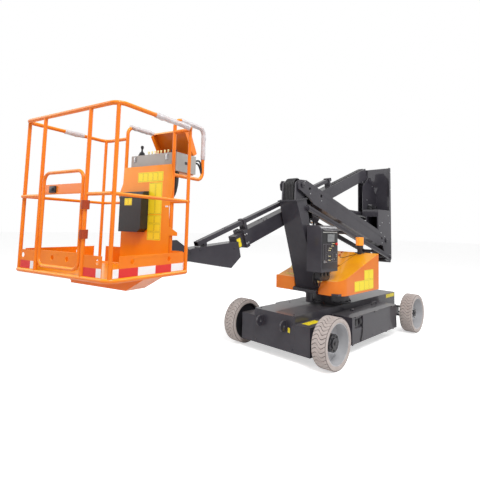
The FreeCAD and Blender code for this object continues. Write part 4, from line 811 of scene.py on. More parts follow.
@dataclass
class Wheels:
    """Press-on tyres with zigzag grooves, wheel nuts and hub plates."""

    places: Places
    tyre_radius: float = 0.2795
    seat_radius: float = 0.2262
    half_width: float = 0.089
    pitches: int = 38
    groove_depth: float = 0.009
    nut_circle_driven: float = 0.079
    nut_circle_steered: float = 0.062
    nuts: int = 8
    hub_face: float = 0.029
    cap_face: float = 0.043
    hub_driven: float = 0.0985
    hub_steered: float = 0.0475

    def section(self) -> list[tuple[float, float, float]]:
        """The tyre's cross-section from one bead to the other.

        Returns:
            Radius, place across and share of the groove's depth for each point.
        """
        half, top, seat = self.half_width, self.tyre_radius, self.seat_radius
        side = [(seat, half - 0.004, 0.0), (seat + 0.003, half - 0.001, 0.0), (seat + 0.016, half, 0.0),
                (top - 0.030, half, 0.0), (top - 0.016, half - 0.0015, 0.25), (top - 0.006, half - 0.006, 0.9),
                (top - 0.0008, half - 0.014, 1.0)]
        tread = [(top, half - 0.020 - step * (half - 0.020) / 8, 1.0) for step in range(1, 9)]
        one = side + tread
        return one + [(radius, -across, depth) for radius, across, depth in reversed(one[:-1])]

    def zigzag(self, across: float) -> float:
        """How far a groove is shifted round the tyre at a place across it, in pitches."""
        share = across / self.half_width
        return 0.42 * math.sin(share * math.pi * 1.5) + 0.30 * share

    def tyre(self, word: str, centre: Vector, side: int) -> None:
        """Bend a grid round the axle and cut its grooves.

        Args:
            word: Which wheel.
            centre: The wheel's middle.
            side: 1 on the left, -1 on the right.
        """
        rows = self.section()
        marks = (0.0, 0.10, 0.14, 0.42, 0.70, 0.96)
        around = self.pitches * len(marks)
        form = Form()
        bmesh.ops.create_grid(form.mesh, x_segments=around, y_segments=len(rows) - 1, size=0.5)
        for vert in form.mesh.verts:
            column = round((vert.co.x + 0.5) * around)
            radius, across, depth = rows[round((vert.co.y + 0.5) * (len(rows) - 1))]
            pitch, mark = divmod(column, len(marks))
            in_groove = 1.0 if marks[mark] <= marks[1] else 0.0
            turn = math.tau * (pitch + marks[mark] + self.zigzag(across)) / self.pitches
            reach = radius - self.groove_depth * depth * in_groove
            vert.co = (reach * math.sin(turn), across * side, reach * math.cos(turn))
        bmesh.ops.remove_doubles(form.mesh, verts=form.mesh.verts, dist=1e-5)
        beads = [edge for edge in form.mesh.edges if edge.is_boundary]
        bmesh.ops.bridge_loops(form.mesh, edges=beads)
        bmesh.ops.recalc_face_normals(form.mesh, faces=form.mesh.faces)
        name = f"tyre_{word}_grooved"
        if "tyre_" + word not in FINISHES:
            FINISHES["tyre_" + word] = Rubber(f"pale_rubber_{word}", centre=(centre.x, centre.z),
                                              tread_radius=self.tyre_radius, groove_depth=self.groove_depth)
        form.done(name, "tyre_" + word, "wheel_" + word, Slot.RUBBER, Matrix.Translation(centre), [f"tyre_{word}"])

    def nuts_on(self, word: str, centre: Vector, side: int) -> None:
        """Ring of wheel nuts and the hub's end plate.

        Args:
            word: Which wheel.
            centre: The wheel's middle.
            side: 1 on the left, -1 on the right.
        """
        out = Axis.Y if side > 0 else Axis.MINUS_Y
        circle = self.nut_circle_driven if word.startswith("front") else self.nut_circle_steered
        if "rim_" + word not in FINISHES:
            hub = self.hub_driven if word.startswith("front") else self.hub_steered
            FINISHES["rim_" + word] = Rim(f"wheel_enamel_{word}", (centre.x, centre.z), hub, middle=centre.y, side=side)
        form = Form()
        step = math.tau / self.nuts
        for count in range(self.nuts):
            spot = (circle * math.cos(step * count), side * self.hub_face, circle * math.sin(step * count))
            form.bolt(spot, out, 0.015)
        form.disc((0, side * self.cap_face, 0), out, 0.022, 0.006, 0.002)
        form.done(f"wheel_nuts_{word}", "black", "wheel_" + word, Slot.RIM, Matrix.Translation(centre))

    def build(self) -> None:
        """Make all four wheels' pieces."""
        for word, centre in self.places.wheels.items():
            side = 1 if word.endswith("left") else -1
            self.tyre(word, centre, side)
            self.nuts_on(word, centre, side)


def mm(*values: float) -> tuple[float, ...]:
    """Millimetres as metres."""
    return tuple(value * MM for value in values)


@dataclass(frozen=True)
class Plate:
    """A blank sticker with thin frames where its signs would be."""

    name: str
    body: str
    frame: str
    centre: tuple[float, float, float]
    width: float
    height: float
    facing: Axis
    columns: int = 1
    rows: int = 1
    finish: str = "label"
    thickness: float = 0.6
    line: float = 1.5
    edge: float = 7.0

    def build(self, places: Places) -> None:
        """Make the plate and its frames.

        Args:
            places: The machine's frames.
        """
        turn = {
            Axis.X: Matrix(((0, 0, 1), (1, 0, 0), (0, 1, 0))).to_4x4(),
            Axis.Y: Matrix(((-1, 0, 0), (0, 0, 1), (0, 1, 0))).to_4x4(),
            Axis.MINUS_Y: Matrix(((1, 0, 0), (0, 0, -1), (0, 1, 0))).to_4x4(),
            Axis.Z: Matrix(((0, 1, 0), (-1, 0, 0), (0, 0, 1))).to_4x4(),
        }[self.facing]
        spot = getattr(places, self.frame) @ Matrix.Translation(Vector(mm(*self.centre))) @ turn
        half_w, half_h = self.width * MM / 2, self.height * MM / 2
        base = Form()
        base.sweep(rounded_outline(half_w, half_h, min(half_w, half_h) * 0.1), 0.0, self.thickness * MM, Axis.Z, 0.0, spot)
        base.done(self.name, self.finish, self.body)
        if not self.columns:
            return
        frames = Form()
        cell_w = (self.width - self.edge) / self.columns
        cell_h = (self.height - self.edge) / self.rows
        for column in range(self.columns):
            for row in range(self.rows):
                left = -self.width / 2 + self.edge / 2 + column * cell_w + self.edge / 2
                low = -self.height / 2 + self.edge / 2 + row * cell_h + self.edge / 2
                right, top = left + cell_w - self.edge, low + cell_h - self.edge
                for x0, y0, x1, y1 in ((left, low, right, low + self.line), (left, top - self.line, right, top),
                                       (left, low, left + self.line, top), (right - self.line, low, right, top)):
                    frames.block(mm(x0, y0, 0), mm(x1, y1, self.thickness + 0.25), 0.0, spot)
        frames.done(self.name + "_frames", "label_line", self.body)


PLATES = [
    Plate("plate_hood_upper", "turntable", "slew", (-190, 500, 910), 268, 130, Axis.Y, 2),
    Plate("plate_hood_lower", "turntable", "slew", (-54, 500, 778), 540, 132, Axis.Y, 4),
    Plate("plate_hood_far", "turntable", "hood", (-73, -341, 0), 135, 32, Axis.Z, 3),
    Plate("plate_chassis_rear", "chassis", "chassis", (-1220, 308.5, 482), 300, 56, Axis.Y, 4),
    Plate("plate_axle_block", "chassis", "chassis", (1130, 390, 435), 96, 262, Axis.Z, 1, 4),
    Plate("plate_front_far", "chassis", "chassis", (1345, -192, 384), 34, 40, Axis.X),
    Plate("plate_front_near", "chassis", "chassis", (1345, 226, 354), 30, 54, Axis.X, 1, 2),
    Plate("plate_fly_mouth", "fly_boom", "boom", (3428, 59, 128), 62, 104, Axis.Y, 1, 2),
    Plate("plate_console_top", "platform", "cage", (288, 350, 1915), 292, 84, Axis.X, 5),
    Plate("plate_console_upper", "platform", "cage", (288, 416, 1800), 150, 132, Axis.X, 2),
    Plate("plate_console_middle", "platform", "cage", (288, 416, 1664), 150, 130, Axis.X, 2),
    Plate("plate_console_lower", "platform", "cage", (288, 416, 1490), 150, 208, Axis.X, 2, 3),
    Plate("plate_console_small", "platform", "cage", (288, 548, 1664), 34, 12, Axis.X, 0, 0, "tape_white"),
    Plate("plate_document_box", "platform", "cage", (373, 190, 1702), 88, 60, Axis.X, 2),
    Plate("plate_control_side", "platform", "cage", (105, 592, 2040), 66, 24, Axis.Y, 0, 0, "panel"),
]


@dataclass(frozen=True)
class Bolts:
    """Hexagon heads of one size on one face."""

    name: str
    body: str
    frame: str
    axis: Axis
    width: float
    spots: tuple[tuple[float, float, float], ...]
    finish: str = "zinc"

    def build(self, places: Places) -> None:
        """Make the heads.

        Args:
            places: The machine's frames.
        """
        form = Form()
        place = getattr(places, self.frame)
        for spot in self.spots:
            form.bolt(mm(*spot), self.axis, self.width * MM, place)
        form.done(self.name, self.finish, self.body)


def grid(xs: Sequence[float], ys: Sequence[float], zs: Sequence[float]) -> tuple[tuple[float, float, float], ...]:
    """All combinations of three lists of coordinates."""
    return tuple((x, y, z) for x in xs for y in ys for z in zs)


BOLTS = [
    Bolts("mast_foot_bolts", "turntable", "slew", Axis.Z, 22, grid((150, 280, 420, 560, 600), (-176, 176), (730,)), "dark"),
    Bolts("mast_head_bolts", "turntable", "slew", Axis.Z, 16, grid((800,), (-130, 130), (1902,)), "dark"),
    Bolts("mast_head_front_bolts", "turntable", "slew", Axis.Z, 16, grid((985,), (-130, 0, 130), (1871,)), "dark"),
    Bolts("slew_ring_bolts", "chassis", "slew", Axis.Z, 20,
          tuple((282 * math.cos(turn * math.pi / 8), 282 * math.sin(turn * math.pi / 8), 534) for turn in range(16)), "dark"),
    Bolts("arm_front_bolts", "riser_arm", "arm", Axis.Y, 13, ((-190, 150, -48), (-463, 150, -44), (-25, 150, 62))),
    Bolts("arm_front_bolts_far", "riser_arm", "arm", Axis.MINUS_Y, 13, ((-190, -150, -48), (-463, -150, -44), (-25, -150, 62))),
    Bolts("arm_rear_bolts", "riser_arm", "arm", Axis.Y, 13, ((-2330, 150, 70), (-2480, 150, 50), (-2420, 150, -80))),
    Bolts("collar_top_bolts", "main_boom", "boom", Axis.Z, 15, grid((3304, 3334), (-52, 0, 52), (247,)), "dark"),
    Bolts("collar_side_bolts", "main_boom", "boom", Axis.Y, 15, grid((3304, 3334), (88,), (86, 194))),
    Bolts("collar_far_bolts", "main_boom", "boom", Axis.MINUS_Y, 15, grid((3304, 3334), (-88,), (86, 194))),
    Bolts("boom_top_bolts", "main_boom", "boom", Axis.Z, 13, grid((2860, 2920), (-45, 45), (234,)), "dark"),
    Bolts("boom_root_bolts", "main_boom", "boom", Axis.Y, 14, ((20, 62, -22), (90, 62, 0), (200, 62, 30))),
    Bolts("nose_bolts", "fly_boom", "nose", Axis.Y, 14, ((60, 85, -60), (60, 85, -200), (690, 85, -90), (560, 85, -70)), "dark"),
    Bolts("tray_bolts", "fly_boom", "boom", Axis.Z, 9, grid((3520, 3560, 3900, 3960), (-18, 18), (350,)), "dark"),
    Bolts("upright_bolts", "upright", "upright", Axis.Y, 15,
          ((-280, 112, 1200), (-280, 112, 900), (-250, 112, -250), (-120, 112, -300), (-230, 112, 300), (60, 112, 300),
           (160, 112, 250), (-180, 112, 430))),
    Bolts("upright_inner_bolts", "upright", "upright", Axis.Y, 15,
          ((-150, -159, 960), (60, -159, 700), (-200, -159, 560), (120, -159, 500)), "zinc"),
    Bolts("front_plate_bolts", "chassis", "chassis", Axis.X, 15, grid((1345,), (-270, 270), (150, 430)), "dark"),
    Bolts("deck_bolts", "chassis", "chassis", Axis.Z, 14, grid((1280, 700), (-250, 250), (520,)), "dark"),
    Bolts("lid_latch_bolts", "battery_lid_left", "chassis", Axis.Z, 10, ((150, 390, 457), (175, 390, 457)), "zinc"),
    Bolts("lid_latch_bolts_far", "battery_lid_right", "chassis", Axis.Z, 10, ((150, -390, 457), (175, -390, 457)), "zinc"),
    Bolts("panel_bracket_bolts", "turntable", "slew", Axis.Y, 14, ((530, 180, 1410), (600, 180, 1410), (530, 182, 1130)), "zinc"),
]


@dataclass(frozen=True)
class Line:
    """A cable or hose that is held along its whole length."""

    name: str
    body: str
    frame: str
    radius: float
    finish: str
    points: tuple[tuple[float, float, float], ...]

    def build(self, places: Places) -> None:
        """Make the cable.

        Args:
            places: The machine's frames.
        """
        hose(self.name, [mm(*point) for point in self.points], self.radius * MM, self.finish, self.body,
             getattr(places, self.frame))


def boom_hoses() -> list[Line]:
    """Hoses on the main boom's back, from its root to the cable tray."""
    return [Line(f"boom_hose_{number}", "main_boom", "boom", 6, "hose",
                 ((1195, y, 241), (700, y * 1.1, 241), (240, y, 241), (60, y, 240), (10, y, 225), (22, y, 150)))
            for number, y in enumerate((-33, -11, 11, 33))]


def upright_hoses() -> list[Line]:
    """Hoses up the inside of the upright's web."""
    return [Line(f"upright_hose_{number}", "upright", "upright", 8, "hose",
                 ((-284, y, -300), (-284, y, -100), (-284, y + 6, 100), (-284, y, 300), (-284, y, 396)))
            for number, y in enumerate((20, 42, 64))]


LINES = [
    Line("charger_cable", "chassis", "chassis", 5, "hose",
         ((330, 590, 350), (312, 606, 330), (308, 607, 260), (330, 606, 190), (352, 606, 150), (352, 606, 126))),
    Line("beacon_cable", "turntable", "hood", 3, "hose",
         ((-985, 200, 4), (-900, 120, 4), (-835, 100, 4), (-800, 50, 4), (-850, 10, 4), (-893, -5, 4))),
    Line("panel_cable_1", "turntable", "slew", 8, "hose",
         ((700, 262, 905), (706, 268, 860), (680, 240, 800), (630, 200, 760), (600, 182, 735))),
    Line("panel_cable_2", "turntable", "slew", 8, "hose",
         ((640, 262, 905), (650, 262, 850), (640, 235, 790), (610, 200, 760), (585, 182, 735))),
    Line("panel_cable_3", "turntable", "slew", 10, "hose",
         ((720, 240, 990), (760, 235, 950), (750, 215, 880), (690, 190, 830), (640, 178, 800))),
    Line("console_cable_1", "platform", "cage", 13, "hose",
         ((215, 568, 1958), (216, 572, 1900), (218, 578, 1830), (222, 566, 1770), (232, 530, 1720), (258, 480, 1690))),
    Line("console_cable_2", "platform", "cage", 8, "hose",
         ((185, 562, 1958), (188, 568, 1880), (200, 560, 1790), (225, 520, 1730), (258, 460, 1700))),
    Line("console_cable_3", "platform", "cage", 8, "hose",
         ((-30, 560, 2080), (-80, 575, 2110), (-100, 582, 2050), (-105, 582, 1990))),
    Line("console_cable_4", "platform", "cage", 8, "hose",
         ((-30, 530, 2060), (-70, 560, 2085), (-98, 575, 2030), (-104, 582, 1985))),
    Line("valve_hose_1", "upright", "upright", 7, "hose",
         ((14, -97, 546), (14, -78, 546), (14, -66, 570), (20, -60, 620), (60, -80, 600), (70, -100, 530))),
    Line("valve_hose_2", "upright", "upright", 7, "hose",
         ((-40, -97, 546), (-40, -74, 546), (-44, -60, 566), (-60, -56, 600), (-120, -60, 590), (-140, -80, 530))),
    *boom_hoses(),
    *upright_hoses(),
]


@dataclass(frozen=True)
class PinEnd:
    """Round keeper plates with two bolts over a pin's end."""

    name: str
    body: str
    frame: str
    centre: tuple[float, float, float]
    radius: float
    facing: Axis = Axis.Y

    def build(self, places: Places) -> None:
        """Make the plate and its bolts.

        Args:
            places: The machine's frames.
        """
        form = Form()
        place = getattr(places, self.frame)
        out = Vector(self.facing.value)
        form.disc(mm(*self.centre), self.facing, self.radius * MM, 0.006, 0.0015, 32, place=place)
        for side in (-1, 1):
            spot = Vector(mm(*self.centre)) + out * 0.006 + Vector((side * self.radius * MM * 0.5, 0, 0))
            form.bolt(spot, self.facing, 0.011, place)
        form.done(self.name, "dark", self.body)


PIN_ENDS = [
    PinEnd("riser_pin_left", "turntable", "slew", (891, 158, 2063), 36),
    PinEnd("riser_pin_right", "turntable", "slew", (891, -158, 2063), 36, Axis.MINUS_Y),
    PinEnd("link_pin_left", "turntable", "slew", (770, 172, 1779), 27),
    PinEnd("link_pin_right", "turntable", "slew", (770, -172, 1779), 27, Axis.MINUS_Y),
    PinEnd("upright_pin_left", "upright", "upright", (0, 158, 0), 38),
    PinEnd("upright_pin_right", "upright", "upright", (0, -158, 0), 38, Axis.MINUS_Y),
    PinEnd("upright_link_left", "upright", "upright", (-121, 172, -284), 27),
    PinEnd("upright_link_right", "upright", "upright", (-121, -172, -284), 27, Axis.MINUS_Y),
    PinEnd("boom_pin_left", "upright", "upright", (-40, -150, 1051), 36),
    PinEnd("boom_pin_right", "upright", "upright", (-40, -356, 1051), 36, Axis.MINUS_Y),
    PinEnd("lift_pin_left", "upright", "upright", (-60, -154, 440), 31),
    PinEnd("level_pin_left", "level_bracket", "level", (0, 107, 0), 28),
    PinEnd("level_pin_right", "level_bracket", "level", (0, -107, 0), 28, Axis.MINUS_Y),
]


def rounded_outline(half_w: float, half_h: float, corner: float, steps: int = 4) -> list[tuple[float, float]]:
    """A rectangle with round corners.

    Args:
        half_w: Half its width.
        half_h: Half its height.
        corner: The corners' radius.
        steps: Steps in each corner.

    Returns:
        Its points.
    """
    points = []
    for quarter, (x, y) in enumerate(((1, 1), (-1, 1), (-1, -1), (1, -1))):
        for step in range(steps + 1):
            turn = math.pi / 2 * (quarter + step / steps)
            points.append((x * (half_w - corner) + corner * math.cos(turn), y * (half_h - corner) + corner * math.sin(turn)))
    return points


def pad(x0: float, x1: float, y0: float, y1: float, corner: float) -> list[tuple[float, float]]:
    """An outline with round corners between two corners.

    Args:
        x0: Its first side, in millimetres as the others.
        x1: Its second side.
        y0: Its lower edge.
        y1: Its upper edge.
        corner: The corners' radius.

    Returns:
        Its points in metres.
    """
    points = rounded_outline((x1 - x0) / 2, (y1 - y0) / 2, corner)
    return [mm(x + (x0 + x1) / 2, y + (y0 + y1) / 2) for x, y in points]


class Switch:
    """Small hand controls that stand on a face."""

    @staticmethod
    def toggle(nuts: Form, bats: Form, spot: Sequence[float], axis: Axis, place: Matrix, reach: float = 27.0,
               stout: float = 1.0) -> None:
        """A toggle switch: a nut on a washer, and a bat that widens to its tip.

        Args:
            nuts: Takes the nut.
            bats: Takes the bat.
            spot: Its seat in millimetres.
            axis: The way it stands out.
            place: The frame of the face.
            reach: How far the bat stands out.
            stout: Factor on the bat's thickness.
        """
        out = Vector(axis.value)
        seat = Vector(mm(*spot))
        nuts.disc(seat, axis, 0.0105, 0.0015, 0.0, 20, place=place)
        nuts.disc(seat + out * 0.0015, axis, 0.0085, 0.004, 0.0006, 6, place=place)
        bats.lathe([mm(radius * stout, height) for radius, height in
                    ((0, 0), (3.6, 0), (3.6, 3), (5.8, reach * 0.8), (5.0, reach * 0.95), (0, reach))],
                   seat + out * 0.0035, axis, 16, place)

    @staticmethod
    def mushroom(form: Form, spot: Sequence[float], axis: Axis, radius: float, reach: float, place: Matrix) -> None:
        """A push knob with a wide round head.

        Args:
            form: Takes the knob.
            spot: Its seat in millimetres.
            axis: The way it stands out.
            radius: Its head's radius.
            reach: How far it stands out.
            place: The frame of the face.
        """
        profile = ((0, 0), (radius * 0.5, 0), (radius * 0.5, reach * 0.45), (radius * 0.92, reach * 0.5),
                   (radius, reach * 0.6), (radius, reach * 0.78), (radius * 0.85, reach * 0.94), (radius * 0.5, reach), (0, reach))
        form.lathe([mm(*pair) for pair in profile], mm(*spot), axis, 28, place)


@dataclass
class GroundPanel:
    """Overlay, display, stop knob and switches on the ground control box, and the plugs below it."""

    places: Places
    face: float = 400.0
    box_low: float = 990.0
    toggles: tuple[tuple[float, float], ...] = ((609, 1337), (620, 1307), (678, 1280), (693, 1255), (693, 1184), (698, 1135))
    lights: tuple[tuple[float, float], ...] = ((614, 1142), (560, 1143), (511, 1200), (511, 1177))
    knobs: tuple[tuple[float, float], ...] = ((534, 1331), (790, 1415))
    plugs: tuple[tuple[float, float], ...] = ((600, 248), (642, 262), (700, 262))

    def build(self) -> None:
        """Make the panel's pieces."""
        place = self.places.slew
        face = self.face * MM
        frame = Form()
        frame.sweep(pad(472, 828, 1030, 1490, 14), face, face + 0.0022, Axis.Y, 0.0006, place)
        frame.sweep(pad(553, 729, 1351, 1462, 6), face + 0.0022, face + 0.0075, Axis.Y, 0.0012, place)
        frame.disc((0.534, face + 0.0022, 1.331), Axis.Y, 0.024, 0.003, 0.0008, 32, place=place)
        frame.done("panel_surround", "black", "turntable")
        sheet = Form()
        sheet.sweep(pad(480, 820, 1038, 1340, 10), face + 0.0022, face + 0.0030, Axis.Y, 0.0002, place)
        sheet.done("panel_overlay", "panel", "turntable")
        title = Form()
        title.sweep(pad(486, 814, 1470, 1482, 3), face + 0.0022, face + 0.0029, Axis.Y, 0.0002, place)
        for x, z in self.lights:
            title.disc(mm(x, self.face + 3.0, z), Axis.Y, 0.0055, 0.0025, 0.0008, 20, place=place)
        title.done("panel_title_bar", "white", "turntable")
        display = Form()
        display.sweep(pad(561, 721, 1359, 1454, 3), face + 0.0070, face + 0.0080, Axis.Y, 0.0003, place)
        display.done("panel_display", "glass", "turntable")
        lines = Form()
        for x0, x1, z0, z1 in ((492, 588, 1110, 1230), (600, 744, 1110, 1210), (600, 744, 1232, 1330), (756, 812, 1110, 1330)):
            lines.sweep(pad(x0, x1, z0, z0 + 1.4, 0.6), face + 0.0030, face + 0.0034, Axis.Y, 0.0, place)
            lines.sweep(pad(x0, x1, z1 - 1.4, z1, 0.6), face + 0.0030, face + 0.0034, Axis.Y, 0.0, place)
            lines.sweep(pad(x0, x0 + 1.4, z0, z1, 0.6), face + 0.0030, face + 0.0034, Axis.Y, 0.0, place)
            lines.sweep(pad(x1 - 1.4, x1, z0, z1, 0.6), face + 0.0030, face + 0.0034, Axis.Y, 0.0, place)
        lines.done("panel_field_lines", "rim", "turntable")
        nuts, bats, knobs = Form(), Form(), Form()
        for x, z in self.toggles:
            Switch.toggle(nuts, bats, (x, self.face + 3.0, z), Axis.Y, place)
        nuts.disc((0.785, face + 0.003, 1.12), Axis.Y, 0.015, 0.008, 0.001, 28, place=place)
        nuts.block((0.7838, face + 0.011, 1.110), (0.7862, face + 0.030, 1.130), 0.0008, place)
        Switch.mushroom(knobs, (534, self.face + 5.0, 1331), Axis.Y, 19, 30, place)
        nuts.done("panel_switch_nuts", "zinc", "turntable")
        bats.done("panel_toggles", "cream", "turntable")
        knobs.done("panel_stop_knob", "red", "turntable")
        hood = Form()
        hood.sweep([mm(y, z) for y, z in ((396, 1506), (430, 1494), (432, 1497), (398, 1512))], 0.476, 0.824, Axis.X, 0.0006, place)
        hood.done("panel_visor", "dark", "turntable")
        below = Form()
        below.sweep([mm(x, z) for x, z in ((505, 990), (505, 900), (530, 872), (725, 872), (748, 900), (748, 990))], 0.215, 0.310,
                    Axis.Y, 0.004, place)
        for x in (545, 625, 705):
            below.disc(mm(x, 310, 945), Axis.Y, 0.026, 0.012, 0.002, 32, place=place)
        below.done("panel_plug_box", "black", "turntable")
        plugs = Form()
        for x, y in self.plugs:
            plugs.disc(mm(x, y, 872), Axis.MINUS_Z, 0.013, 0.010, 0.001, 6, place=place)
            plugs.disc(mm(x, y, 862), Axis.MINUS_Z, 0.010, 0.014, 0.001, 24, place=place)
        plugs.done("panel_plugs", "bronze", "turntable")


@dataclass
class PlatformControls:
    """Joystick, toggles and latches of the platform's control box."""

    places: Places
    top: float = 2120.0
    front: float = 245.5
    toggles: tuple[float, ...] = (252, 292, 328, 362, 398, 440, 480)
    latches: tuple[float, ...] = (112, 490)
    stick_scale: float = 1.4

    def build(self) -> None:
        """Make the platform controls' pieces."""
        place = self.places.cage
        sheet, nuts, bats = Form(), Form(), Form()
        sheet.sweep([mm(x, y) for x, y in ((2, 215), (238, 215), (238, 575), (2, 575))], self.top * MM, self.top * MM + 0.0015,
                    Axis.Z, 0.0004, place)
        sheet.sweep([mm(x, y) for x, y in ((30, 80), (238, 80), (238, 196), (30, 196))], self.top * MM, self.top * MM + 0.0015,
                    Axis.Z, 0.0004, place)
        sheet.done("control_overlay", "panel", "platform")
        for y in self.toggles:
            Switch.toggle(nuts, bats, (224, y, self.top + 1.5), Axis.Z, place, 28, 1.5)
            if y < 460:
                Switch.toggle(nuts, bats, (150, y + 12, self.top + 1.5), Axis.Z, place, 20)
        nuts.done("control_switch_nuts", "zinc", "platform")
        bats.done("control_toggles", "cream", "platform")
        stop = Form()
        Switch.mushroom(stop, (78, 252, self.top + 1.5), Axis.Z, 19, 30, place)
        stop.done("control_stop_knob", "red", "platform")
        stick = Form()
        boot = [(0, 0), (34, 0), (34, 3), (29, 8), (30, 12), (23, 17), (24, 21), (16, 27), (9, 33), (7, 44), (11, 52), (14, 60),
                (13, 66), (8, 70), (0, 71)]
        stick.lathe([mm(radius, height * self.stick_scale) for radius, height in boot], mm(196, 138, self.top + 1.5), Axis.Z, 32,
                    place)
        for y in (520, 560):
            Switch.mushroom(stick, (222, y, self.top + 1.5), Axis.Z, 13, 22, place)
        stick.done("control_joystick", "black", "platform")
        clasp = Form()
        for y in self.latches:
            clasp.block(mm(self.front, y - 16, 2062), mm(self.front + 5, y + 16, 2112), 0.0012, place)
            clasp.block(mm(self.front + 5, y - 9, 2074), mm(self.front + 11, y + 9, 2108), 0.0015, place)
            clasp.disc(mm(self.front + 8, y - 20, 2107), Axis.Y, 0.004, 0.040, 0.0006, 16, place=place)
        clasp.done("control_latches", "zinc", "platform")


@dataclass
class StripedTape:
    """Red and white tape round the outside of the platform's toe boards."""

    places: Places
    low: float = 1178.0
    high: float = 1233.0
    near: float = 787.0
    far: float = -263.0
    front: float = 1027.5
    back: float = 265.5
    thickness: float = 0.5

    def build(self) -> None:
        """Make both colours."""
        red, white = Form(), Form()
        along = ((1000, 955, white), (955, 795, red), (795, 635, white), (635, 475, red), (475, 345, white))
        for first, last, form in along:
            for y, out in ((self.near, self.thickness), (self.far, -self.thickness)):
                form.block(mm(last, min(y, y + out), self.low), mm(first, max(y, y + out), self.high), 0.0, self.places.cage)
        for first, last, form in ((540, 665, red), (665, 712, white), (-186, -60, red), (-60, -12, white)):
            form.block(mm(self.front, first, self.low), mm(self.front + self.thickness, last, self.high), 0.0, self.places.cage)
        for first, last, form in ((-186, -30, white), (-30, 130, red), (130, 290, white), (290, 450, red), (450, 610, white),
                                  (610, 700, red)):
            form.block(mm(self.back - self.thickness, first, self.low), mm(self.back, last, self.high), 0.0, self.places.cage)
        red.done("toe_tape_red", "tape_red", "platform")
        white.done("toe_tape_white", "tape_white", "platform")


@dataclass
class PackingFilm:
    """Clouded film wound round the platform's tubes."""

    places: Places
    radius: float = 20.0
    puff: float = 0.006
    waves: float = 24.0
    runs: tuple[tuple[tuple[float, float, float], ...], ...] = (
        ((330, 785.5, 2281), (420, 785.5, 2281), (540, 785.5, 2281), (700, 785.5, 2281)),
        ((200, 582, 2395), (106, 582, 2395), (17, 582, 2395), (-123, 582, 2395), (-123, 582, 2255), (-123, 582, 2190),
         (-123, 582, 2110)),
        ((240, 22, 2395), (100, 22, 2395), (20, 22, 2395), (-50, 22, 2395)),
        ((520, -261.5, 2281), (580, -261.5, 2281), (650, -261.5, 2281), (700, -261.5, 2281)))

    def build(self) -> None:
        """Make each wrap and crumple it."""
        for number, run in enumerate(self.runs):
            points = [mm(*point) for point in run]
            wrap = hose(f"packing_film_{number}", points, self.radius * MM, "film", "platform", self.places.cage, 14)
            form = bmesh.new()
            form.from_mesh(wrap.data)
            bmesh.ops.remove_doubles(form, verts=form.verts, dist=1e-5)
            longest = [edge for edge in form.edges if edge.calc_length() > 0.012]
            bmesh.ops.subdivide_edges(form, edges=longest, cuts=3, use_grid_fill=True)
            form.normal_update()
            for vert in form.verts:
                fold = noise.noise(vert.co * self.waves) + 0.25 * noise.noise(vert.co * self.waves * 2.3)
                vert.co += vert.normal * max(-0.1, fold + 0.1) * self.puff
            bmesh.ops.recalc_face_normals(form, faces=form.faces)
            form.to_mesh(wrap.data)
            form.free()
            for face in wrap.data.polygons:
                face.use_smooth = True


@dataclass
class GateFittings:
    """Painted hinge barrels and the latch cover of the gate."""

    places: Places
    front: float = 1026.0
    post: float = 520.0
    barrels: tuple[float, ...] = (1411.0, 1601.0)
    barrel_length: float = 60.0
    bore: float = 25.4
    wall: float = 1.6

    def build(self) -> None:
        """Make the pieces."""
        place = self.places.cage
        sleeves = Form()
        for foot in self.barrels:
            sleeves.ring(mm(self.front, self.post, foot + 1), Axis.Z, self.bore * MM, (self.bore + self.wall) * MM,
                         (self.barrel_length - 2) * MM, place)
        sleeves.done("gate_hinge_sleeves", "hinge", "gate")
        latch = Form()
        latch.block(mm(self.front - 15.5, 127.5, 1717.5), mm(self.front + 15.5, 194.5, 1764.5), 0.003, place)
        latch.block(mm(self.front + 15.5, 150, 1730), mm(self.front + 24, 180, 1752), 0.003, place)
        latch.done("gate_latch_cover", "black", "gate")


@dataclass
class HoodFittings:
    """Lamp collar, dome, latches and seams on the hoods."""

    places: Places

    def build(self) -> None:
        """Make the hoods' small pieces."""
        slope, place = self.places.hood, self.places.slew
        dome = Form()
        dome.lathe([mm(*pair) for pair in ((0, 0), (46, 0), (46, 5), (41, 18), (30, 29), (15, 35), (0, 37))],
                   mm(-289, -440, 0), Axis.Z, 36, slope)
        dome.done("hood_dome", "cream", "turntable")
        clips = Form()
        for x, y in ((-1041, -60), (-915, -30)):
            clips.block(mm(x - 26, y - 9, 0), mm(x + 26, y + 9, 9), 0.002, slope)
            clips.block(mm(x + 12, y - 6, 9), mm(x + 24, y + 6, 17), 0.002, slope)
        clips.done("hood_seam_clips", "red", "turntable")
        lamp = Form()
        lamp.ring(mm(-452, 232, 1176), Axis.Z, 0.058, 0.066, 0.010, place)
        lamp.done("lamp_collar", "black", "turntable")
        seam = Form()
        for y in (186.5, -186.5):
            seam.block(mm(-1075, y - 2, -1), mm(-20, y + 2, 1.2), 0.0005, slope)
        seam.done("hood_seams", "grille", "turntable")


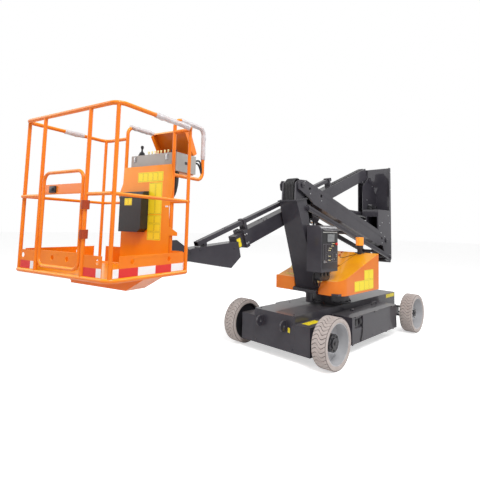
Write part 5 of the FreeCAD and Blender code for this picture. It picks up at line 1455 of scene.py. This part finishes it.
@dataclass
class ChassisFittings:
    """Charger socket, battery box rivets and the valve block with its unions on the upright."""

    places: Places

    def build(self) -> None:
        """Make the pieces."""
        place = self.places.chassis
        socket = Form()
        socket.block(mm(318, 580, 330), mm(372, 594, 402), 0.004, place)
        socket.disc(mm(345, 594, 366), Axis.Y, 0.021, 0.006, 0.001, 32, place=place)
        socket.block(mm(408, 580, 330), mm(468, 592, 402), 0.004, place)
        socket.done("charger_socket", "black", "chassis")
        rivets = Form()
        for x in (-740, -520, -260, 20, 280, 555):
            rivets.disc(mm(x, 600, 150), Axis.Y, 0.008, 0.003, 0.001, 20, place=place)
            rivets.disc(mm(x, -600, 150), Axis.MINUS_Y, 0.008, 0.003, 0.001, 20, place=place)
        rivets.done("battery_box_rivets", "dark", "chassis")
        block = Form()
        upright = self.places.upright
        block.block(mm(-110, -176, 520), mm(60, -112, 574), 0.003, upright)
        for x in (-84, -34, 20):
            block.disc(mm(x, -144, 574), Axis.Z, 0.014, 0.034, 0.0015, 6, place=upright)
        block.done("valve_block", "black", "upright")
        caps = Form()
        for x in (-84, -34, 20):
            caps.disc(mm(x, -144, 608), Axis.Z, 0.009, 0.012, 0.001, 24, place=upright)
            caps.disc(mm(x - 6, -112, 546), Axis.Y, 0.008, 0.016, 0.001, 6, place=upright)
        caps.done("valve_block_unions", "zinc", "upright")


@dataclass
class Studio:
    """Pale floor, soft lamps and the camera."""

    camera_at: tuple[float, float, float] = (3.776, 2.919, 1.510)
    yaw: float = -135.41
    pitch: float = 5.34
    roll: float = 1.46
    focal_pixels: float = 377.85
    sensor: float = 36.0
    centre_row: float = 192.0
    floor_glow: float = 0.55

    def camera(self) -> None:
        """Put the camera where the picture was taken from."""
        data = bpy.data.cameras.new("view")
        data.sensor_width = self.sensor
        data.lens = self.focal_pixels / PICTURE_PIXELS * self.sensor
        data.shift_y = (self.centre_row - PICTURE_PIXELS / 2) / PICTURE_PIXELS
        data.clip_end = 200
        camera = bpy.data.objects.new("view", data)
        bpy.context.scene.collection.objects.link(camera)
        yaw, pitch, roll = (math.radians(value) for value in (self.yaw, self.pitch, self.roll))
        ahead = Vector((math.cos(yaw) * math.cos(pitch), math.sin(yaw) * math.cos(pitch), math.sin(pitch)))
        right = ahead.cross(Vector((0, 0, 1))).normalized()
        up = right.cross(ahead)
        tilted = right * math.cos(roll) + up * math.sin(roll)
        top = up * math.cos(roll) - right * math.sin(roll)
        turn = Matrix((tilted, top, -ahead)).transposed().to_4x4()
        camera.matrix_world = Matrix.Translation(self.camera_at) @ turn
        bpy.context.scene.camera = camera

    def floor(self) -> None:
        """Wide pale floor that stays white behind the machine and keeps its shadow."""
        part = bmesh.new()
        bmesh.ops.create_grid(part, x_segments=1, y_segments=1, size=60)
        data = bpy.data.meshes.new("floor")
        part.to_mesh(data)
        part.free()
        floor = bpy.data.objects.new("floor", data)
        bpy.context.scene.collection.objects.link(floor)
        material = bpy.data.materials.new("pale_floor")
        material.use_nodes = True
        shader = material.node_tree.nodes["Principled BSDF"]
        shader.inputs["Base Color"].default_value = (0.86, 0.86, 0.86, 1)
        shader.inputs["Roughness"].default_value = 0.85
        shader.inputs["Emission Color"].default_value = (1, 1, 1, 1)
        tree = material.node_tree
        path = tree.nodes.new("ShaderNodeLightPath")
        shown = Wave(tree, path.outputs["Is Camera Ray"])
        tree.links.new((shown * self.floor_glow).socket, shader.inputs["Emission Strength"])
        data.materials.append(material)

    def sky(self) -> None:
        """White surroundings for the camera and for reflections, dimmer light on the object."""
        world = bpy.data.worlds.new("studio")
        world.use_nodes = True
        tree = world.node_tree
        background = tree.nodes["Background"]
        background.inputs["Color"].default_value = (1, 1, 1, 1)
        path = tree.nodes.new("ShaderNodeLightPath")
        seen = Wave(tree, path.outputs["Is Camera Ray"])
        shine = Wave(tree, path.outputs["Is Glossy Ray"])
        through = Wave(tree, path.outputs["Is Transmission Ray"])
        shown = (seen + through).clamped()
        strength = shown * 0.56 + shine * 0.30 + 0.44
        tree.links.new(strength.socket, background.inputs["Strength"])
        bpy.context.scene.world = world

    def lamp(self, name: str, spot: Sequence[float], aim: Sequence[float], width: float, power: float) -> None:
        """One soft square lamp.

        Args:
            name: Its name.
            spot: Where it hangs.
            aim: What it points at.
            width: Its width.
            power: Its watts.
        """
        data = bpy.data.lights.new(name, "AREA")
        data.shape = "SQUARE"
        data.size = width
        data.energy = power
        lamp = bpy.data.objects.new(name, data)
        lamp.location = spot
        way = Vector(aim) - Vector(spot)
        lamp.rotation_euler = way.to_track_quat("-Z", "Y").to_euler()
        bpy.context.scene.collection.objects.link(lamp)

    def build(self) -> None:
        """Make the studio."""
        self.camera()
        self.floor()
        self.sky()
        self.lamp("key", (4.5, 5.5, 8.5), (0, 0, 1), 4.0, 760)
        self.lamp("fill", (6.5, -5.0, 4.5), (0, 0, 1), 5.0, 150)
        self.lamp("back", (-6.5, 2.5, 6.5), (-1, 0, 1), 4.0, 260)
        view = bpy.context.scene.view_settings
        view.view_transform = "Standard"


NODE_FINISH = {
    "hood_left": "orange", "hood_right": "orange", "platform_rails": "orange", "platform_deck": "orange",
    "platform_support": "orange", "gate": "orange", "console_panel": "panel_orange", "console_cover": "orange",
    "control_box": "console", "beacon": "lens", "riser_piston_rod": "chrome", "boom_piston_rod": "chrome",
    "power_unit": "black", "oil_tank": "black", "document_box": "black", "platform_posts": "orange", "guard_loops": "orange",
    "mast_hoses": "hose", "bracket_hoses": "hose", "rim_front_left": "rim_front_left",
    "rim_front_right": "rim_front_right", "rim_rear_left": "rim_rear_left", "rim_rear_right": "rim_rear_right",
}


def dress_nodes(frame: dict) -> None:
    """Give every node of the frame its finish, welded corners and small round edges.
    """
    for name, node in frame["nodes"].items():
        node.data.materials.clear()
        node.data.materials.append(finish_of(NODE_FINISH.get(name, "dark")))
        for face in node.data.polygons:
            face.use_smooth = True
        weld = node.modifiers.new("weld", "WELD")
        weld.merge_threshold = 0.00002
        bevel = node.modifiers.new("round", "BEVEL")
        bevel.width = 0.0014
        bevel.segments = 2
        bevel.limit_method = "ANGLE"
        bevel.angle_limit = math.radians(38)
        bevel.use_clamp_overlap = False
        split = node.modifiers.new("crisp", "EDGE_SPLIT")
        split.split_angle = math.radians(44)
        flat = node.modifiers.new("flat", "WEIGHTED_NORMAL")
        flat.mode = "FACE_AREA"
        flat.weight = 90
        LOG.info("dressed %s", name)


def main() -> None:
    """Load the frame and build every sub-assembly round it."""
    logging.basicConfig(level=logging.INFO, format="%(message)s")
    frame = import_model()
    places = Places(frame)
    Wheels(places).build()
    dress_nodes(frame)
    for table in (PLATES, BOLTS, LINES, PIN_ENDS):
        for piece in table:
            piece.build(places)
    for assembly in (GroundPanel, PlatformControls, StripedTape, PackingFilm, GateFittings, HoodFittings,
                     ChassisFittings):
        assembly(places).build()
    Studio().build()


if __name__ == "__main__":
    main()
